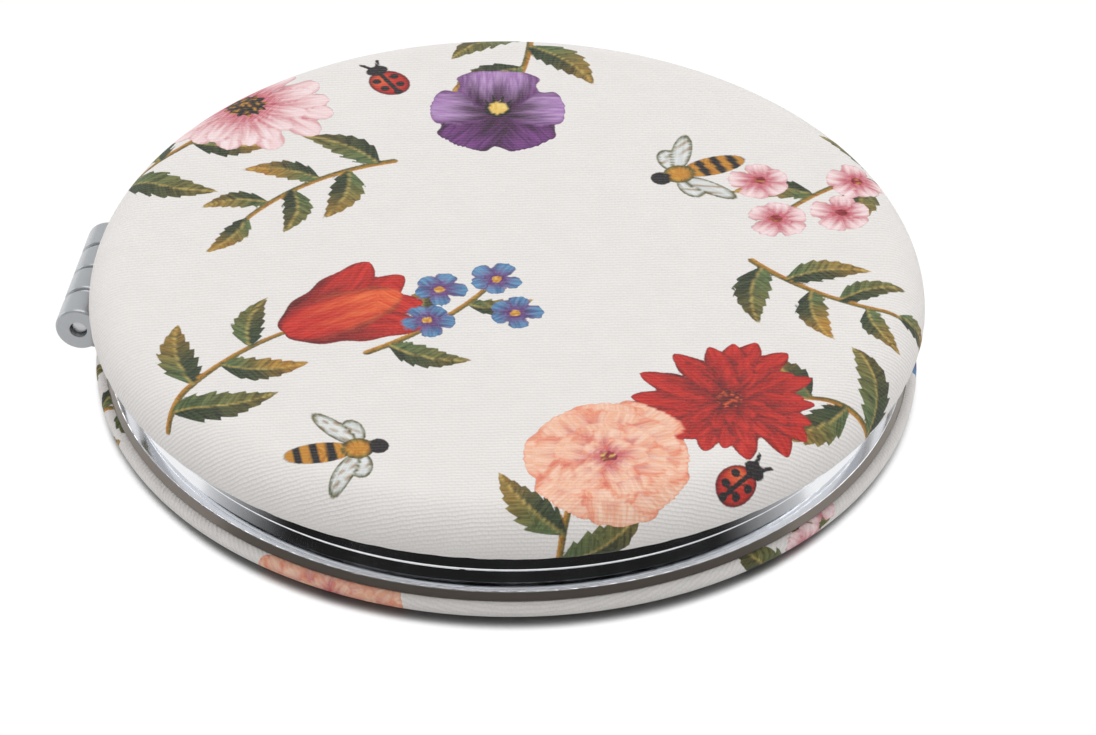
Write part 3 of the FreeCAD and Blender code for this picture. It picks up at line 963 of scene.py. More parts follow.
LID_PRINT = FlowerPrint(
    sprigs=(
        Sprig(Spot(-12.0, 12.0, 205.0), Flower.NONE, 0.0, 15.0, 40.0, 5, 7.5),
        Sprig(Spot(20.0, 4.0, -35.0), Flower.NONE, 0.0, 14.0, 35.0, 5, 7.5),
        Sprig(Spot(-24.0, -26.0, 75.0), Flower.TULIP, 6.4, 15.0, -35.0),
        Sprig(Spot(-36.0, 6.0, 35.0), Flower.DAISY, 7.4, 16.0, 35.0),
        Sprig(Spot(-5.0, 37.0, -75.0), Flower.PANSY, 6.2, 16.0, -30.0),
        Sprig(Spot(33.0, 22.0, 205.0), Flower.CHERRY, 2.5, 17.0, 40.0, 3),
        Sprig(Spot(36.0, -14.0, 165.0), Flower.DAHLIA, 7.6, 15.0, 40.0),
        Sprig(Spot(12.0, -38.0, 110.0), Flower.PEONY, 7.0, 14.0, -50.0),
        Sprig(Spot(-9.0, -15.0, 40.0), Flower.BLUET, 2.2, 15.0, 30.0, 3, 7.0),
    ),
    beetles=(Spot(-15.0, 24.0, 130.0), Spot(24.0, -24.5, 60.0)),
    bees=(Spot(13.5, 16.0, 215.0), Spot(-9.0, -28.0, 20.0)),
)

BASE_PRINT = FlowerPrint(
    sprigs=(
        Sprig(Spot(24.0, -18.0, 330.0), Flower.CHERRY, 2.4, 13.0, 20.0, 3),
        Sprig(Spot(-8.0, -22.0, 255.0), Flower.PEONY, 6.6, 11.0, 30.0),
        Sprig(Spot(-22.0, 20.0, 190.0), Flower.TULIP, 6.0, 9.0, 35.0),
        Sprig(Spot(12.0, 24.0, 60.0), Flower.DAISY, 6.8, 10.0, 30.0),
        Sprig(Spot(-16.0, -4.0, 15.0), Flower.PANSY, 6.0, 15.0, 30.0),
        Sprig(Spot(28.0, 8.0, 10.0), Flower.BLUET, 2.2, 8.0, 30.0, 3, 7.0),
        Sprig(Spot(10.0, -10.0, 80.0), Flower.DAHLIA, 7.0, 13.0, -40.0),
        Sprig(Spot(-28.0, -10.0, 215.0), Flower.NONE, 0.0, 10.0, 30.0, 4, 7.0),
    ),
    beetles=(Spot(4.0, -30.0, 100.0), Spot(-24.0, 4.0, 40.0)),
    bees=(Spot(2.0, 12.0, 140.0),),
)


@dataclass(frozen=True)
class PrintedTwill:
    """Cream twill with ink laid on its threads.

    Attributes:
        name: Name of the material.
        ground: Colour of the bare threads.
        hollow_shade: Colour between the ribs, a painted shade in the hollows.
        rib: Ribs to a millimetre along the cloth's two directions.
        float_step: Threads to a millimetre along a rib.
        relief: Height of the ribs in metres.
        bleed: How far ink strays over a motif's edge, in millimetres.
        strength: How far ink hides the threads' own colour.
        streak: How far the brush strokes deepen an ink, from 0 to 1.
    """

    name: str
    ground: tuple
    hollow_shade: tuple
    rib: tuple
    float_step: float
    relief: float
    bleed: float
    strength: float
    streak: float

    FUZZ = 7.0
    FUZZ_SHADE = 0.9
    FUZZ_HEIGHT = 0.5
    FUZZ_SPREAD = (0.2, 0.8)
    RIB_SHADE = 0.30
    SHADE_SPREAD = (0.2, 0.9)
    INK_SPREAD = (0.2, 0.6)
    INK_IN_HOLLOWS = 0.90
    THREAD_SPREAD = (0.20, 0.85)
    THREAD_SHADE_TONES = (0.93, 1.0)
    PATCHES = 0.35
    PATCH_TONES = (0.98, 1.0)
    ROUGHNESS = (0.82, 0.95)
    STRAY_LUMPS = 4.0
    WANDER = 0.9
    WANDER_LUMPS = 0.7
    LINK_STEP = 0.37
    LINK_SPREAD = (0.0, 0.8)
    LINK_HEIGHTS = (0.6, 1.0)
    BRISTLES = (3.4, 0.45, 1.0)

    def make(self) -> bpy.types.Material:
        """Make the material.

        Returns:
            The material.
        """
        bench = NodeBench(self.name)
        cloth = bench.attribute(PaddedCover.CLOTH, "Vector")
        weave = self.weave(bench, cloth)
        fuzz = bench.noise(cloth, self.FUZZ, 4.0)
        patchy = bench.noise(cloth, self.PATCHES, 2.0)
        # Painted shade: the ground is coloured darker where the ribs dip, and darker at random with the
        # fuzz.
        ribs = bench.math("MULTIPLY", weave, self.RIB_SHADE)
        shade = bench.math("MULTIPLY_ADD", fuzz, self.FUZZ_SHADE, ribs)
        colour = bench.mix(bench.ease(shade, *self.SHADE_SPREAD), self.hollow_shade, self.ground)
        ink, inked = self.ink(bench, cloth)
        hold = bench.ease(shade, *self.INK_SPREAD, self.INK_IN_HOLLOWS * self.strength, self.strength)
        colour = bench.mix(bench.math("MULTIPLY", inked, hold), colour, ink)
        # Painted shade again: all colour, the ink too, is multiplied darker where the ribs dip and at random
        # with the fuzz, then toned at random by the patches.
        thread_tone_and_shade = bench.ease(shade, *self.THREAD_SPREAD, *self.THREAD_SHADE_TONES)
        toned = bench.math("MULTIPLY", thread_tone_and_shade, bench.ease(patchy, *NOISE_SPREAD, *self.PATCH_TONES))
        bench.set("Base Color", bench.mix(1.0, colour, bench.grey(toned), "MULTIPLY"))
        bench.set("Roughness", bench.ease(fuzz, *self.FUZZ_SPREAD, *self.ROUGHNESS))
        bench.set("Specular IOR Level", 0.25)
        bench.set("Sheen Weight", 0.10)
        bench.set("Sheen Roughness", 0.5)
        bench.bump(bench.math("MULTIPLY_ADD", fuzz, self.FUZZ_HEIGHT, weave), self.relief)
        return bench.owner

    def ink(self, bench: NodeBench, cloth: Socket) -> tuple:
        """Ink of all the layers, streaked along its brush strokes.

        Args:
            bench: Material to work in.
            cloth: Place on the cloth.

        Returns:
            The ink's colour, and how far it covers the cloth.
        """
        lumps = bench.noise(cloth, self.STRAY_LUMPS, 3.0)
        stray = bench.math("MULTIPLY_ADD", lumps, 2.0 * self.bleed, -self.bleed)
        ink, inked = None, None
        for layer in Layer:
            depth = bench.math("ADD", bench.attribute(f"{layer.value}_depth", "Fac"), stray)
            cover = bench.ease(depth, -self.bleed, self.bleed)
            hue = bench.attribute(f"{layer.value}_ink", "Color")
            ink = hue if ink is None else bench.mix(cover, ink, hue)
            inked = cover if inked is None else bench.math("MAXIMUM", inked, cover)
        stroke = bench.vector("MULTIPLY", bench.attribute(PaddedCover.STROKE, "Vector"), self.BRISTLES)
        streak = bench.ease(bench.noise(stroke, 1.0, 3.0), *NOISE_SPREAD, self.streak, 0.0)
        return bench.mix(streak, ink, ink, "MULTIPLY"), inked

    def weave(self, bench: NodeBench, cloth: Socket) -> Socket:
        """Height of the twill's slanting ribs, each a chain of floats.

        Args:
            bench: Material to work in.
            cloth: Place on the cloth.

        Returns:
            The height's socket, from 0 to 1.
        """
        right, away, _ = bench.split(cloth)
        lumps = bench.noise(cloth, self.WANDER_LUMPS, 2.0)
        wander = bench.math("MULTIPLY_ADD", lumps, self.WANDER, -self.WANDER / 2)
        phase = bench.math("MULTIPLY_ADD", right, self.rib[0], bench.math("MULTIPLY", away, self.rib[1]))
        phase = bench.math("ADD", phase, wander)
        offset = bench.math("MULTIPLY", bench.math("FLOOR", phase), self.LINK_STEP)
        link = bench.math("MULTIPLY_ADD", right, self.float_step, offset)
        bead = bench.ease(bench.hump(link), *self.LINK_SPREAD, *self.LINK_HEIGHTS)
        return bench.math("MULTIPLY", bench.hump(phase), bead)


def place_object(name: str, data: bpy.types.ID) -> bpy.types.Object:
    """Put a mesh, a lamp or a camera into the scene.

    Args:
        name: Name of the object.
        data: What it shows.

    Returns:
        The object.
    """
    thing = bpy.data.objects.new(name, data)
    bpy.context.scene.collection.objects.link(thing)
    return thing


def store_values(piece: bpy.types.Object, name: str, kind: str, values: np.ndarray) -> None:
    """Store values at a piece's points, under a name and as one of Blender's kinds."""
    part = {"FLOAT": "value", "FLOAT_VECTOR": "vector", "FLOAT_COLOR": "color"}[kind]
    piece.data.attributes.new(name, kind, "POINT").data.foreach_set(part, values.ravel())


@dataclass
class TurnedPath:
    """Outline of a turned piece, walked from its axis."""

    points: list = field(default_factory=list)

    SAME_PLACE = 1e-6

    def line(self, start: tuple, end: tuple, spacing: float) -> None:
        """Walk straight.

        Args:
            start: First point, as radius and rise.
            end: Last point.
            spacing: Distance between points.
        """
        count = max(1, round(math.dist(start, end) / spacing))
        for number in range(count + 1):
            share = number / count
            self.reach((start[0] + (end[0] - start[0]) * share, start[1] + (end[1] - start[1]) * share))

    def arc(self, centre: tuple, radius: float, start: float, end: float, spacing: float) -> None:
        """Walk round a centre.

        Args:
            centre: Centre, as radius and rise.
            radius: Radius of the bend.
            start: First angle in radians, up from the outward direction.
            end: Last angle.
            spacing: Distance between points.
        """
        count = max(2, round(radius * abs(end - start) / spacing))
        for number in range(count + 1):
            angle = start + (end - start) * number / count
            self.reach((centre[0] + radius * math.cos(angle), centre[1] + radius * math.sin(angle)))

    def reach(self, point: tuple) -> None:
        """Add a point, unless the walk is there already."""
        if not self.points or math.dist(self.points[-1], point) > self.SAME_PLACE:
            self.points.append(point)


def bridge_rings(first: range, second: range) -> list:
    """Join two closed rings of points with triangles.

    Args:
        first: Numbers of one ring's points.
        second: Numbers of the other ring's points.

    Returns:
        The triangles.
    """
    faces = []
    one, two = 0, 0
    while one < len(first) or two < len(second):
        a, b = first[one % len(first)], second[two % len(second)]
        if (one + 1) * len(second) <= (two + 1) * len(first) and one < len(first):
            one += 1
            faces.append((a, b, first[one % len(first)]))
        else:
            two += 1
            faces.append((a, b, second[two % len(second)]))
    return faces


@dataclass
class PaddedCover:
    """One half's cloth cover and the foam under it.

    Attributes:
        half: Name of the half, which is also its body.
        shoulder: Radius of the rounded shoulder.
        crown: Width over which the crown falls to the shoulder.
        flower_print: Print on the cloth.
        fill: How tight the padding is, from 0 to 1; not used.
        seed: Seed of the cover's small unevenness.
        roll: Radius of the edge where the cloth turns in.
        hem_radius: Radius at which the hem behind the ring ends.
        cloth: Thickness of the cloth.
        spacing: Distance between the cloth's points.
        slack: Gap between the foam and its neighbours.
    """

    half: str
    shoulder: float
    crown: float
    flower_print: FlowerPrint
    fill: float
    seed: int
    roll: float = 0.55
    hem_radius: float = 31.0
    cloth: float = 0.35
    spacing: float = 0.26
    slack: float = 0.05

    CLOTH = "cloth_place"
    STROKE = "brush_stroke"
    FOAM_SPACING = 1.2
    POCKET_SPACING = 7.2
    HEM_SPACING = 0.6
    LINING_SPACING = 3.0
    SECTORS = 6
    SWELL = 0.07
    SWELL_FADE = 6.0
    SWELL_WAVE = 2.2
    SWELL_WAVES = range(2, 6)
    PUCKER = 0.05
    PUCKERS = (61, 89)
    PUCKER_CROWDING = 0.8
    CROWDS = 3
    RIDGE_LIMIT = -0.3
    GATHERED_RISE = (0.35, -0.45)
    GATHERED_RADIUS = (31.0, 34.0)

    def __post_init__(self) -> None:
        """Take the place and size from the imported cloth."""
        low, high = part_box(f"{self.half}_fabric")
        self.radius = high.x / MM
        self.outward = 1.0 if self.half == "lid" else -1.0
        edge, face = (low.z, high.z) if self.half == "lid" else (high.z, low.z)
        self.equator = edge / MM + self.outward * self.roll
        self.depth = abs(face / MM - self.equator)

    def walk_face(self, path: TurnedPath, inset: float, spacing: float) -> None:
        """Walk the face from the axis to its widest point.

        Args:
            path: Outline to add to.
            inset: How far inside the cloth's outer surface.
            spacing: Distance between points.
        """
        flat = self.radius - self.crown
        reach = self.crown - self.shoulder
        bow = (reach**2 + self.depth**2 - self.shoulder**2) / (2 * (self.depth - self.shoulder))
        meeting = math.atan2(bow - self.depth, reach)
        path.line((0.0, self.depth - inset), (flat, self.depth - inset), spacing)
        path.arc((flat, self.depth - bow), bow - inset, math.pi / 2, meeting, spacing)
        path.arc((self.radius - self.shoulder, 0.0), self.shoulder - inset, meeting, 0.0, spacing)

    def walk_roll(self, path: TurnedPath, inset: float, spacing: float) -> None:
        """Walk round the edge from the widest point to the hem's plane."""
        path.arc((self.radius - self.roll, 0.0), self.roll - inset, 0.0, -math.pi / 2, spacing)

    def build_turned(self, name: str, path: TurnedPath, counts: Sequence) -> tuple:
        """Turn an outline into a closed mesh.

        Args:
            name: Name of the piece.
            path: Outline from the axis round and back to the axis.
            counts: How many points each ring has, for all but the two ends.

        Returns:
            The object, and each point's outline number and angle.
        """
        places, numbers, angles, rings = [], [], [], []
        for number, (radius, rise) in enumerate(path.points):
            count = 1 if number in (0, len(path.points) - 1) else counts[number - 1]
            turn = np.arange(count) * (2 * math.pi / count)
            height = np.full(count, self.equator + self.outward * rise)
            rings.append(range(len(angles), len(angles) + count))
            places.append(np.stack([radius * np.cos(turn), radius * np.sin(turn), height], axis=1))
            numbers.extend([number] * count)
            angles.extend(turn)
        faces = []
        for inner, outer in zip(rings, rings[1:]):
            faces.extend(bridge_rings(inner, outer))
        if self.half == "lid":
            faces = [face[::-1] for face in faces]
        mesh = bpy.data.meshes.new(name)
        mesh.from_pydata((np.concatenate(places) * MM).tolist(), [], faces)
        mesh.shade_smooth()
        return place_object(name, mesh), np.array(numbers), np.array(angles)

    def build_cloth(self) -> bpy.types.Object:
        """Build the cloth: face, rolled edge, hem and lining in one closed skin.

        Returns:
            The cloth.
        """
        path = TurnedPath()
        self.walk_face(path, 0.0, self.spacing)
        face_rings = len(path.points) - 1
        self.walk_roll(path, 0.0, self.spacing)
        path.line(path.points[-1], (self.hem_radius, -self.roll), self.HEM_SPACING)
        seen_rings = len(path.points) - 1
        lining = TurnedPath()
        self.walk_face(lining, self.cloth, self.LINING_SPACING)
        self.walk_roll(lining, self.cloth, self.LINING_SPACING)
        lining.reach((self.hem_radius, self.cloth - self.roll))
        path.points.extend(reversed(lining.points))
        counts = []
        for number in range(1, len(path.points) - 1):
            seen = number <= seen_rings
            counts.append(self.SECTORS * min(number, face_rings) if seen else face_rings)
        piece, numbers, angles = self.build_turned(f"{self.half}_cover", path, counts)
        self.mark_cloth(piece, path, numbers, angles)
        self.soften(piece, path, numbers, angles, seen_rings)
        return piece

    def mark_cloth(
        self, piece: bpy.types.Object, path: TurnedPath, numbers: np.ndarray, angles: np.ndarray
    ) -> None:
        """Store each point's place on the flat cloth, and the print's ink there.

        Args:
            piece: The cloth.
            path: Its outline.
            numbers: Each point's outline number.
            angles: Each point's angle.
        """
        steps = [math.dist(*pair) for pair in zip(path.points, path.points[1:])]
        reach = np.concatenate([[0.0], np.cumsum(steps)])[numbers]
        places = np.stack([reach * np.cos(angles), reach * np.sin(angles)], axis=1)
        sheet = self.flower_print.paint(places)
        level, opaque = np.zeros((len(places), 1)), np.ones((len(places), 1))
        store_values(piece, self.CLOTH, "FLOAT_VECTOR", np.concatenate([places, level], axis=1))
        store_values(piece, self.STROKE, "FLOAT_VECTOR", sheet.strokes)
        for layer in Layer:
            store_values(piece, f"{layer.value}_depth", "FLOAT", sheet.depths[layer])
            inks = np.concatenate([sheet.colours[layer], opaque], axis=1)
            store_values(piece, f"{layer.value}_ink", "FLOAT_COLOR", inks)

    def soften(
        self,
        piece: bpy.types.Object,
        path: TurnedPath,
        numbers: np.ndarray,
        angles: np.ndarray,
        seen_rings: int,
    ) -> None:
        """Give the drawn cloth its small swells, and puckers where it is gathered in.

        Args:
            piece: The cloth.
            path: Its outline.
            numbers: Each point's outline number.
            angles: Each point's angle.
            seen_rings: Outline number of the hem's end.
        """
        random = np.random.default_rng(self.seed)
        mesh = piece.data
        places = np.zeros(len(numbers) * 3)
        mesh.vertices.foreach_get("co", places)
        places = places.reshape(-1, 3)
        outline = np.array(path.points)
        radius, rise = outline[numbers, 0], outline[numbers, 1]
        swell = np.zeros(len(numbers))
        for waves in self.SWELL_WAVES:
            lean, start, share = random.uniform(0, 2 * math.pi, 3)
            across = np.cos(angles - lean) * radius / self.radius
            swell += np.sin(waves * across * self.SWELL_WAVE + start) * math.cos(share) / waves
        on_face = smooth_step(self.radius, self.radius - self.SWELL_FADE, radius)
        on_face = on_face * smooth_step(0.0, 0.5 * self.depth, rise)
        gather = np.zeros(len(numbers))
        for count in self.PUCKERS:
            start = random.uniform(0, 2 * math.pi)
            crowding = self.PUCKER_CROWDING * np.sin(self.CROWDS * angles + start)
            gather += 0.5 * np.sin(count * angles + start + crowding)
        tucked = (numbers <= seen_rings) * smooth_step(*self.GATHERED_RISE, rise)
        tucked = tucked * smooth_step(*self.GATHERED_RADIUS, radius)
        drawn = self.PUCKER * np.maximum(gather, self.RIDGE_LIMIT) * tucked
        shrink = 1.0 - drawn / np.maximum(radius, 1.0)
        places[:, :2] *= shrink[:, None]
        places[:, 2] -= self.outward * self.SWELL * (1.0 + swell) * 0.5 * on_face * MM
        mesh.vertices.foreach_set("co", places.ravel())
        mesh.update()

    def build_foam(self) -> bpy.types.Object:
        """Build the foam: a crowned pad with a pocket for the pan.

        Returns:
            The foam.
        """
        pan_low, pan_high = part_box(f"{self.half}_shell")
        pan_back = pan_high.z if self.half == "lid" else pan_low.z
        pocket = abs(pan_back / MM - self.equator) + self.slack
        rim = pan_high.x / MM + self.slack
        inset = self.cloth + self.slack + self.SWELL
        path = TurnedPath()
        self.walk_face(path, inset, self.FOAM_SPACING)
        self.walk_roll(path, self.cloth + self.slack, self.FOAM_SPACING)
        path.reach((rim, self.cloth + self.slack - self.roll))
        path.reach((rim, pocket))
        path.line((rim, pocket), (0.0, pocket), self.POCKET_SPACING)
        ring = self.SECTORS * round(self.radius / self.FOAM_SPACING)
        piece, _, _ = self.build_turned(f"{self.half}_padding", path, [ring] * (len(path.points) - 2))
        return piece

    def build(self, twill: bpy.types.Material, foam: bpy.types.Material) -> None:
        """Build both pieces and set them on their body.

        Args:
            twill: Material of the cloth.
            foam: Material of the foam.
        """
        cover = self.build_cloth()
        cover.data.materials.append(twill)
        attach(cover, self.half)
        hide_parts(f"{self.half}_fabric")
        log.info("%s: %d points", cover.name, len(cover.data.vertices))
        padding = self.build_foam()
        padding.data.materials.append(foam)
        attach(padding, self.half)
        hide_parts(f"{self.half}_foam")
        log.info("%s: %d points", padding.name, len(padding.data.vertices))


@dataclass
class MetalWork:
    """Rings, hinge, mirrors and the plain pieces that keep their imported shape.

    Attributes:
        nodes: Packed objects by name.
    """

    nodes: dict

    KNUCKLE_STEP = 0.0012
    BAND_STEP = 0.00032

    def finishes(self) -> dict:
        """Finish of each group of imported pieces.

        Returns:
            Names of the pieces for each finish.
        """
        knuckle_line = -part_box("lid_board")[1].x - self.KNUCKLE_STEP
        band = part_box("base_ring")[1].x - self.BAND_STEP
        chrome = RingChrome(
            name="ring_chrome",
            bright=(0.83, 0.84, 0.86),
            satin=(0.46, 0.475, 0.49),
            # Dark painted shade on the bands, standing in for their reflection of the shaded cloth.
            painted_band_shade=(0.21, 0.18, 0.155),
            bright_roughness=(0.08, 0.14),
            satin_roughness=0.25,
            knuckle_line=knuckle_line,
            knuckle_fade=0.0006,
            band=band,
            band_metal=0.45,
        )
        pin = GrainFinish("pin_steel", (0.52, 0.52, 0.53), (0.22, 0.38), (300.0, 6000.0, 6000.0), 0.000004)
        washer = GrainFinish("washer_steel", (0.94, 0.94, 0.95), (0.05, 0.12), (2500.0, 300.0, 2500.0))
        pan = GrainFinish("pan_tin", (0.66, 0.67, 0.68), (0.25, 0.45), (1200.0, 1200.0, 1200.0), 0.000006)
        magnet = GrainFinish("magnet_nickel", (0.72, 0.70, 0.66), (0.12, 0.22))
        mirror = GrainFinish(
            name="mirror_glass",
            colour=(0.90, 0.92, 0.92),
            roughness=(0.008, 0.03),
            grain=(90.0, 90.0, 90.0),
            nature=(("Metallic", 1.0), ("Coat Weight", 0.5), ("Coat Roughness", 0.01)),
            detail=5.0,
            spread=(0.45, 0.8),
        )
        foam_tape = DullFinish("foam_tape", (0.74, 0.74, 0.72), (0.86, 0.86, 0.84), 0.85, 4000.0, 0.00003)
        film = DullFinish("ring_film", (0.84, 0.84, 0.80), (0.90, 0.90, 0.88), 0.45, 1500.0, 0.000005)
        card = DullFinish("grey_card", (0.40, 0.39, 0.37), (0.54, 0.53, 0.50), 0.92, 3500.0, 0.00002)
        rubber = GrainFinish(
            name="clear_rubber",
            colour=(0.93, 0.94, 0.94),
            roughness=(0.12, 0.28),
            grain=(3000.0, 3000.0, 3000.0),
            nature=(("Transmission Weight", 0.85), ("IOR", 1.41)),
            detail=2.0,
        )
        return {
            chrome: ("base_ring", "lid_ring"),
            pin: ("hinge_pin",),
            washer: ("rear_washer", "front_washer"),
            pan: ("base_shell", "lid_shell"),
            magnet: ("base_magnet", "lid_magnet"),
            mirror: ("base_mirror", "lid_mirror"),
            foam_tape: ("base_mirror_tape", "lid_mirror_tape"),
            film: ("base_cover_tape", "lid_cover_tape"),
            card: ("base_board", "lid_board"),
            rubber: ("bumpers",),
        }

    def dress(self) -> None:
        """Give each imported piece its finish."""
        for finish, names in self.finishes().items():
            material = finish.make()
            for name in names:
                mesh = self.nodes[name].data
                mesh.materials.clear()
                mesh.materials.append(material)
                log.info("%s: %s", name, finish.name)


def direction(azimuth: float, elevation: float) -> Vector:
    """Direction from the case, in degrees anticlockwise from the front and above the floor."""
    turn, lift = math.radians(azimuth), math.radians(elevation)
    return Vector((math.sin(turn) * math.cos(lift), -math.cos(turn) * math.cos(lift), math.sin(lift)))


@dataclass(frozen=True)
class Softbox:
    """Soft lamp that looks at the case.

    Attributes:
        name: Name of the lamp.
        azimuth: Degrees round the case from the front, anticlockwise seen from above.
        elevation: Degrees above the floor.
        distance: Metres from the case.
        size: Width and height in metres.
        power: Power in watts.
    """

    name: str
    azimuth: float
    elevation: float
    distance: float
    size: tuple
    power: float

    def build(self, aim: Vector) -> None:
        """Hang the lamp and turn it to the case.

        Args:
            aim: Point that it looks at, in metres.
        """
        lamp = bpy.data.lights.new(self.name, "AREA")
        lamp.shape = "RECTANGLE"
        lamp.size, lamp.size_y = self.size
        lamp.energy = self.power
        holder = place_object(self.name, lamp)
        back = direction(self.azimuth, self.elevation)
        holder.location = aim + back * self.distance
        holder.rotation_euler = (-back).to_track_quat("-Z", "Y").to_euler()


@dataclass(frozen=True)
class Studio:
    """White table, soft light and the camera.

    Attributes:
        azimuth: Degrees that the camera stands round the case from the front.
        elevation: Degrees that it stands above the floor.
        roll: Degrees that it leans to the left about its own view.
        distance: Metres from the case.
        frame: Width and height of the picture in pixels.
        axis_pixel: Pixel where the case's middle shows.
        scale: Pixels to a millimetre across the view.
        middle: Height of the case's middle, in millimetres.
        table: Width of the table in metres.
        table_grey: Share of the light that the open table sends back to the case.
        glow: Strength of the burnt-out white.
        shelter: How far from the case its painted shadow reaches, in metres.
        painted_shadow_side_lift: How much lighter the painted shadow is made at the sides of the case than
            in front.
        sky: Strength of the room's light.
        gloom: Strength in its dark part.
        dark_sides: Degrees round from the camera where the dark part ends and where it is full.
        dark_tops: Degrees above the floor where it ends and where it is full.
    """

    azimuth: float = 10.0
    elevation: float = 36.94
    roll: float = 0.73
    distance: float = 0.8
    frame: tuple = (1096, 735)
    axis_pixel: tuple = (506.8, 326.5)
    scale: float = 11.91
    middle: float = 4.75
    table: float = 6.0
    table_grey: float = 0.88
    glow: float = 1.03
    shelter: float = 0.0014
    painted_shadow_side_lift: float = 0.24
    sky: float = 0.66
    gloom: float = 0.015
    dark_sides: tuple = (94.0, 58.0)
    dark_tops: tuple = (30.0, 20.0)

    SENSOR = 36.0
    FAR = 20.0
    SKY_COLOUR = (0.975, 0.985, 1.0)
    # The painted shadow on the table: where round the case it is lightened, the ambient occlusion over which
    # it fades as seen and as it sends light back, and the table's grey where it is darkest.
    SIDE_TO_FRONT = (0.55, 0.97)
    SEEN_SHADOW = (0.62, 0.86)
    LIT_SHADOW = (0.40, 0.75)
    DARKEST = 0.28

    @property
    def aim(self) -> Vector:
        """Middle of the case, in metres."""
        return Vector((0.0, 0.0, self.middle * MM))

    def build(self) -> None:
        """Build the table, the light and the camera."""
        self.build_table()
        self.build_sky()
        for box in (
            Softbox("overhead", 10.0, 80.0, 0.9, (0.9, 0.5), 3.15),
            Softbox("back_top", 190.0, 68.0, 0.9, (0.9, 0.5), 1.0),
            Softbox("right_side", 112.0, 14.0, 0.9, (0.5, 0.4), 1.0),
            Softbox("left_side", -96.0, 14.0, 0.9, (0.5, 0.4), 1.0),
        ):
            box.build(self.aim)
            log.info("lamp %s", box.name)
        self.build_camera()

    def build_camera(self) -> None:
        """Set the camera so that the case's middle falls on its pixel."""
        camera = bpy.data.cameras.new("camera")
        camera.sensor_width = self.SENSOR
        camera.lens = self.SENSOR * self.distance * self.scale / (self.frame[0] * MM)
        camera.clip_end = self.FAR
        holder = place_object("camera", camera)
        back = direction(self.azimuth, self.elevation)
        rotation = (-back).to_track_quat("-Z", "Y") @ Quaternion((0, 0, 1), math.radians(self.roll))
        right, up = rotation @ Vector((1, 0, 0)), rotation @ Vector((0, 1, 0))
        aside = (self.frame[0] / 2 - self.axis_pixel[0]) / self.scale * MM
        below = (self.axis_pixel[1] - self.frame[1] / 2) / self.scale * MM
        holder.location = self.aim + back * self.distance + right * aside + up * below
        holder.rotation_euler = rotation.to_euler()
        bpy.context.scene.camera = holder

    def build_table(self) -> None:
        """Lay a white table that burns out in the picture, with a shadow at the case painted from ambient
        occlusion.
        """
        mesh = bpy.data.meshes.new("table")
        half = self.table / 2
        corners = [(-half, -half, 0.0), (half, -half, 0.0), (half, half, 0.0), (-half, half, 0.0)]
        mesh.from_pydata(corners, [], [(0, 1, 2, 3)])
        table = place_object("table", mesh)
        bench = NodeBench("table_white")
        # Painted shadow: ambient occlusion near the case hides the table's white glow and darkens its
        # colour, and it is painted lighter at the sides than in front.
        shelter = bench.add("ShaderNodeAmbientOcclusion", samples=8)
        bench.feed(shelter.inputs["Distance"], self.shelter)
        frontal = self.facing(bench, bench.own_place())
        painted_shadow_side_lift = bench.ease(frontal, *self.SIDE_TO_FRONT, self.painted_shadow_side_lift, 0.0)
        clear = bench.math("ADD", shelter.outputs["AO"], painted_shadow_side_lift)
        outside_painted_shadow = bench.ease(clear, *self.SEEN_SHADOW)
        # Painted shadow in the table's own grey, which the lamps then light.
        under = bench.ease(clear, *self.LIT_SHADOW, self.DARKEST, self.table_grey)
        bench.set("Base Color", bench.grey(under))
        bench.set("Roughness", 0.9)
        bench.set("Specular IOR Level", 0.1)
        rays = bench.add("ShaderNodeLightPath")
        seen = bench.math("MAXIMUM", rays.outputs["Is Camera Ray"], rays.outputs["Is Glossy Ray"])
        seen = bench.math("MAXIMUM", seen, rays.outputs["Is Transmission Ray"])
        glow = bench.add("ShaderNodeEmission")
        bench.feed(glow.inputs["Strength"], self.glow)
        white = bench.math("MULTIPLY", seen, outside_painted_shadow)
        both = bench.add("ShaderNodeMixShader", white, bench.shader.outputs[0], glow.outputs[0])
        bench.feed(bench.tree.nodes["Material Output"].inputs["Surface"], both.outputs[0])
        mesh.materials.append(bench.owner)
        table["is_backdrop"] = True
        log.info("table laid")

    def build_sky(self) -> None:
        """Light the room softly, with its low dark side behind the camera."""
        bench = NodeBench("room", room=True)
        bpy.context.scene.world = bench.owner
        bpy.context.scene.view_settings.view_transform = "Standard"
        place = bench.add("ShaderNodeTexCoord").outputs["Generated"]
        sides = [math.cos(math.radians(turn)) for turn in self.dark_sides]
        tops = [math.sin(math.radians(lift)) for lift in self.dark_tops]
        behind = bench.ease(self.facing(bench, place), *sides)
        dark = bench.math("MULTIPLY", behind, bench.ease(bench.split(place)[2], *tops))
        bench.set("Strength", bench.math("MULTIPLY_ADD", dark, self.gloom - self.sky, self.sky))
        bench.set("Color", self.SKY_COLOUR)

    def facing(self, bench: NodeBench, place: Socket) -> Socket:
        """How far a place lies to the camera's side, from -1 behind the case to 1 in front."""
        outward = bench.vector("NORMALIZE", bench.level(place))
        return bench.vector("DOT_PRODUCT", outward, direction(self.azimuth, 0.0))


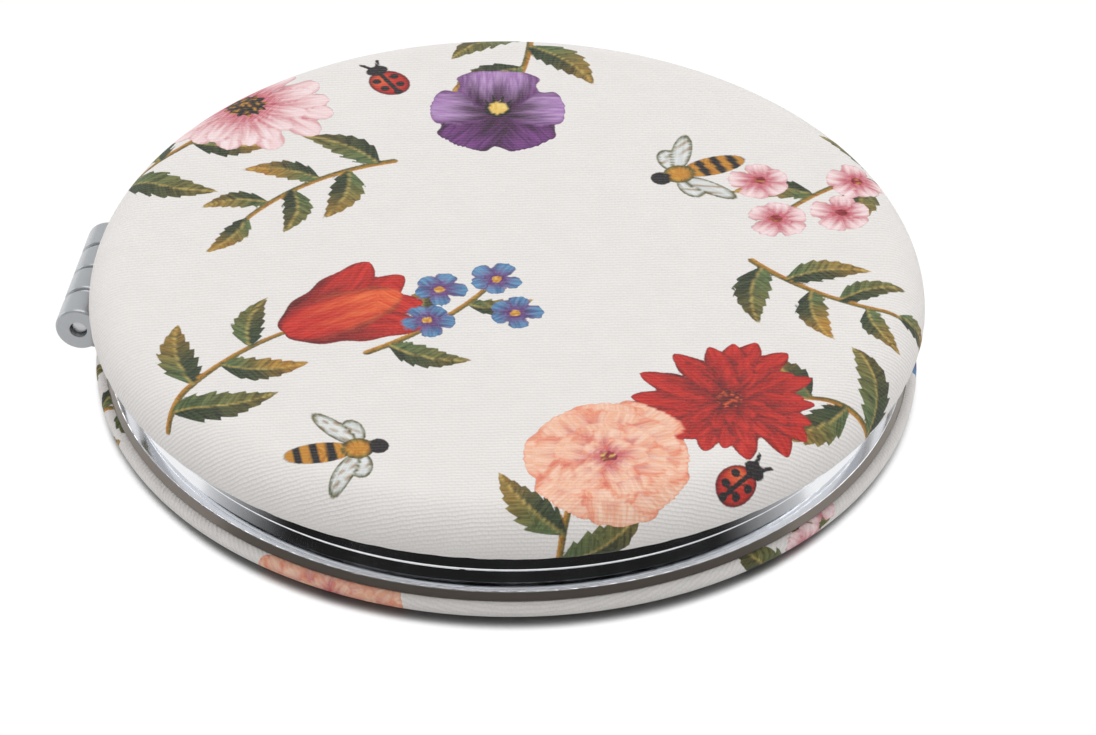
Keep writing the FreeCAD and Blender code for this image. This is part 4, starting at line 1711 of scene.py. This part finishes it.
def main() -> None:
    """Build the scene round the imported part."""
    logging.basicConfig(level=logging.INFO, format="%(message)s")
    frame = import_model()
    packed = tuple(corner.copy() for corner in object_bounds())
    Studio().build()
    MetalWork(frame["nodes"]).dress()
    twill = PrintedTwill(
        name="printed_twill",
        ground=(0.82, 0.786, 0.757),
        hollow_shade=(0.765, 0.732, 0.70),
        rib=(0.62, -2.70),
        float_step=1.9,
        relief=0.00003,
        bleed=0.07,
        strength=0.97,
        streak=0.75,
    )
    foam = DullFinish("pad_foam", (0.80, 0.78, 0.70), (0.92, 0.90, 0.84), 0.9, 2500.0, 0.00005)
    cloth, sponge = twill.make(), foam.make()
    lid = PaddedCover(half="lid", shoulder=3.6, crown=25.0, flower_print=LID_PRINT, fill=0.9, seed=11)
    base = PaddedCover(half="base", shoulder=0.8, crown=2.6, flower_print=BASE_PRINT, fill=0.8, seed=23)
    for cover in (lid, base):
        cover.build(cloth, sponge)


if __name__ == "__main__":
    main()
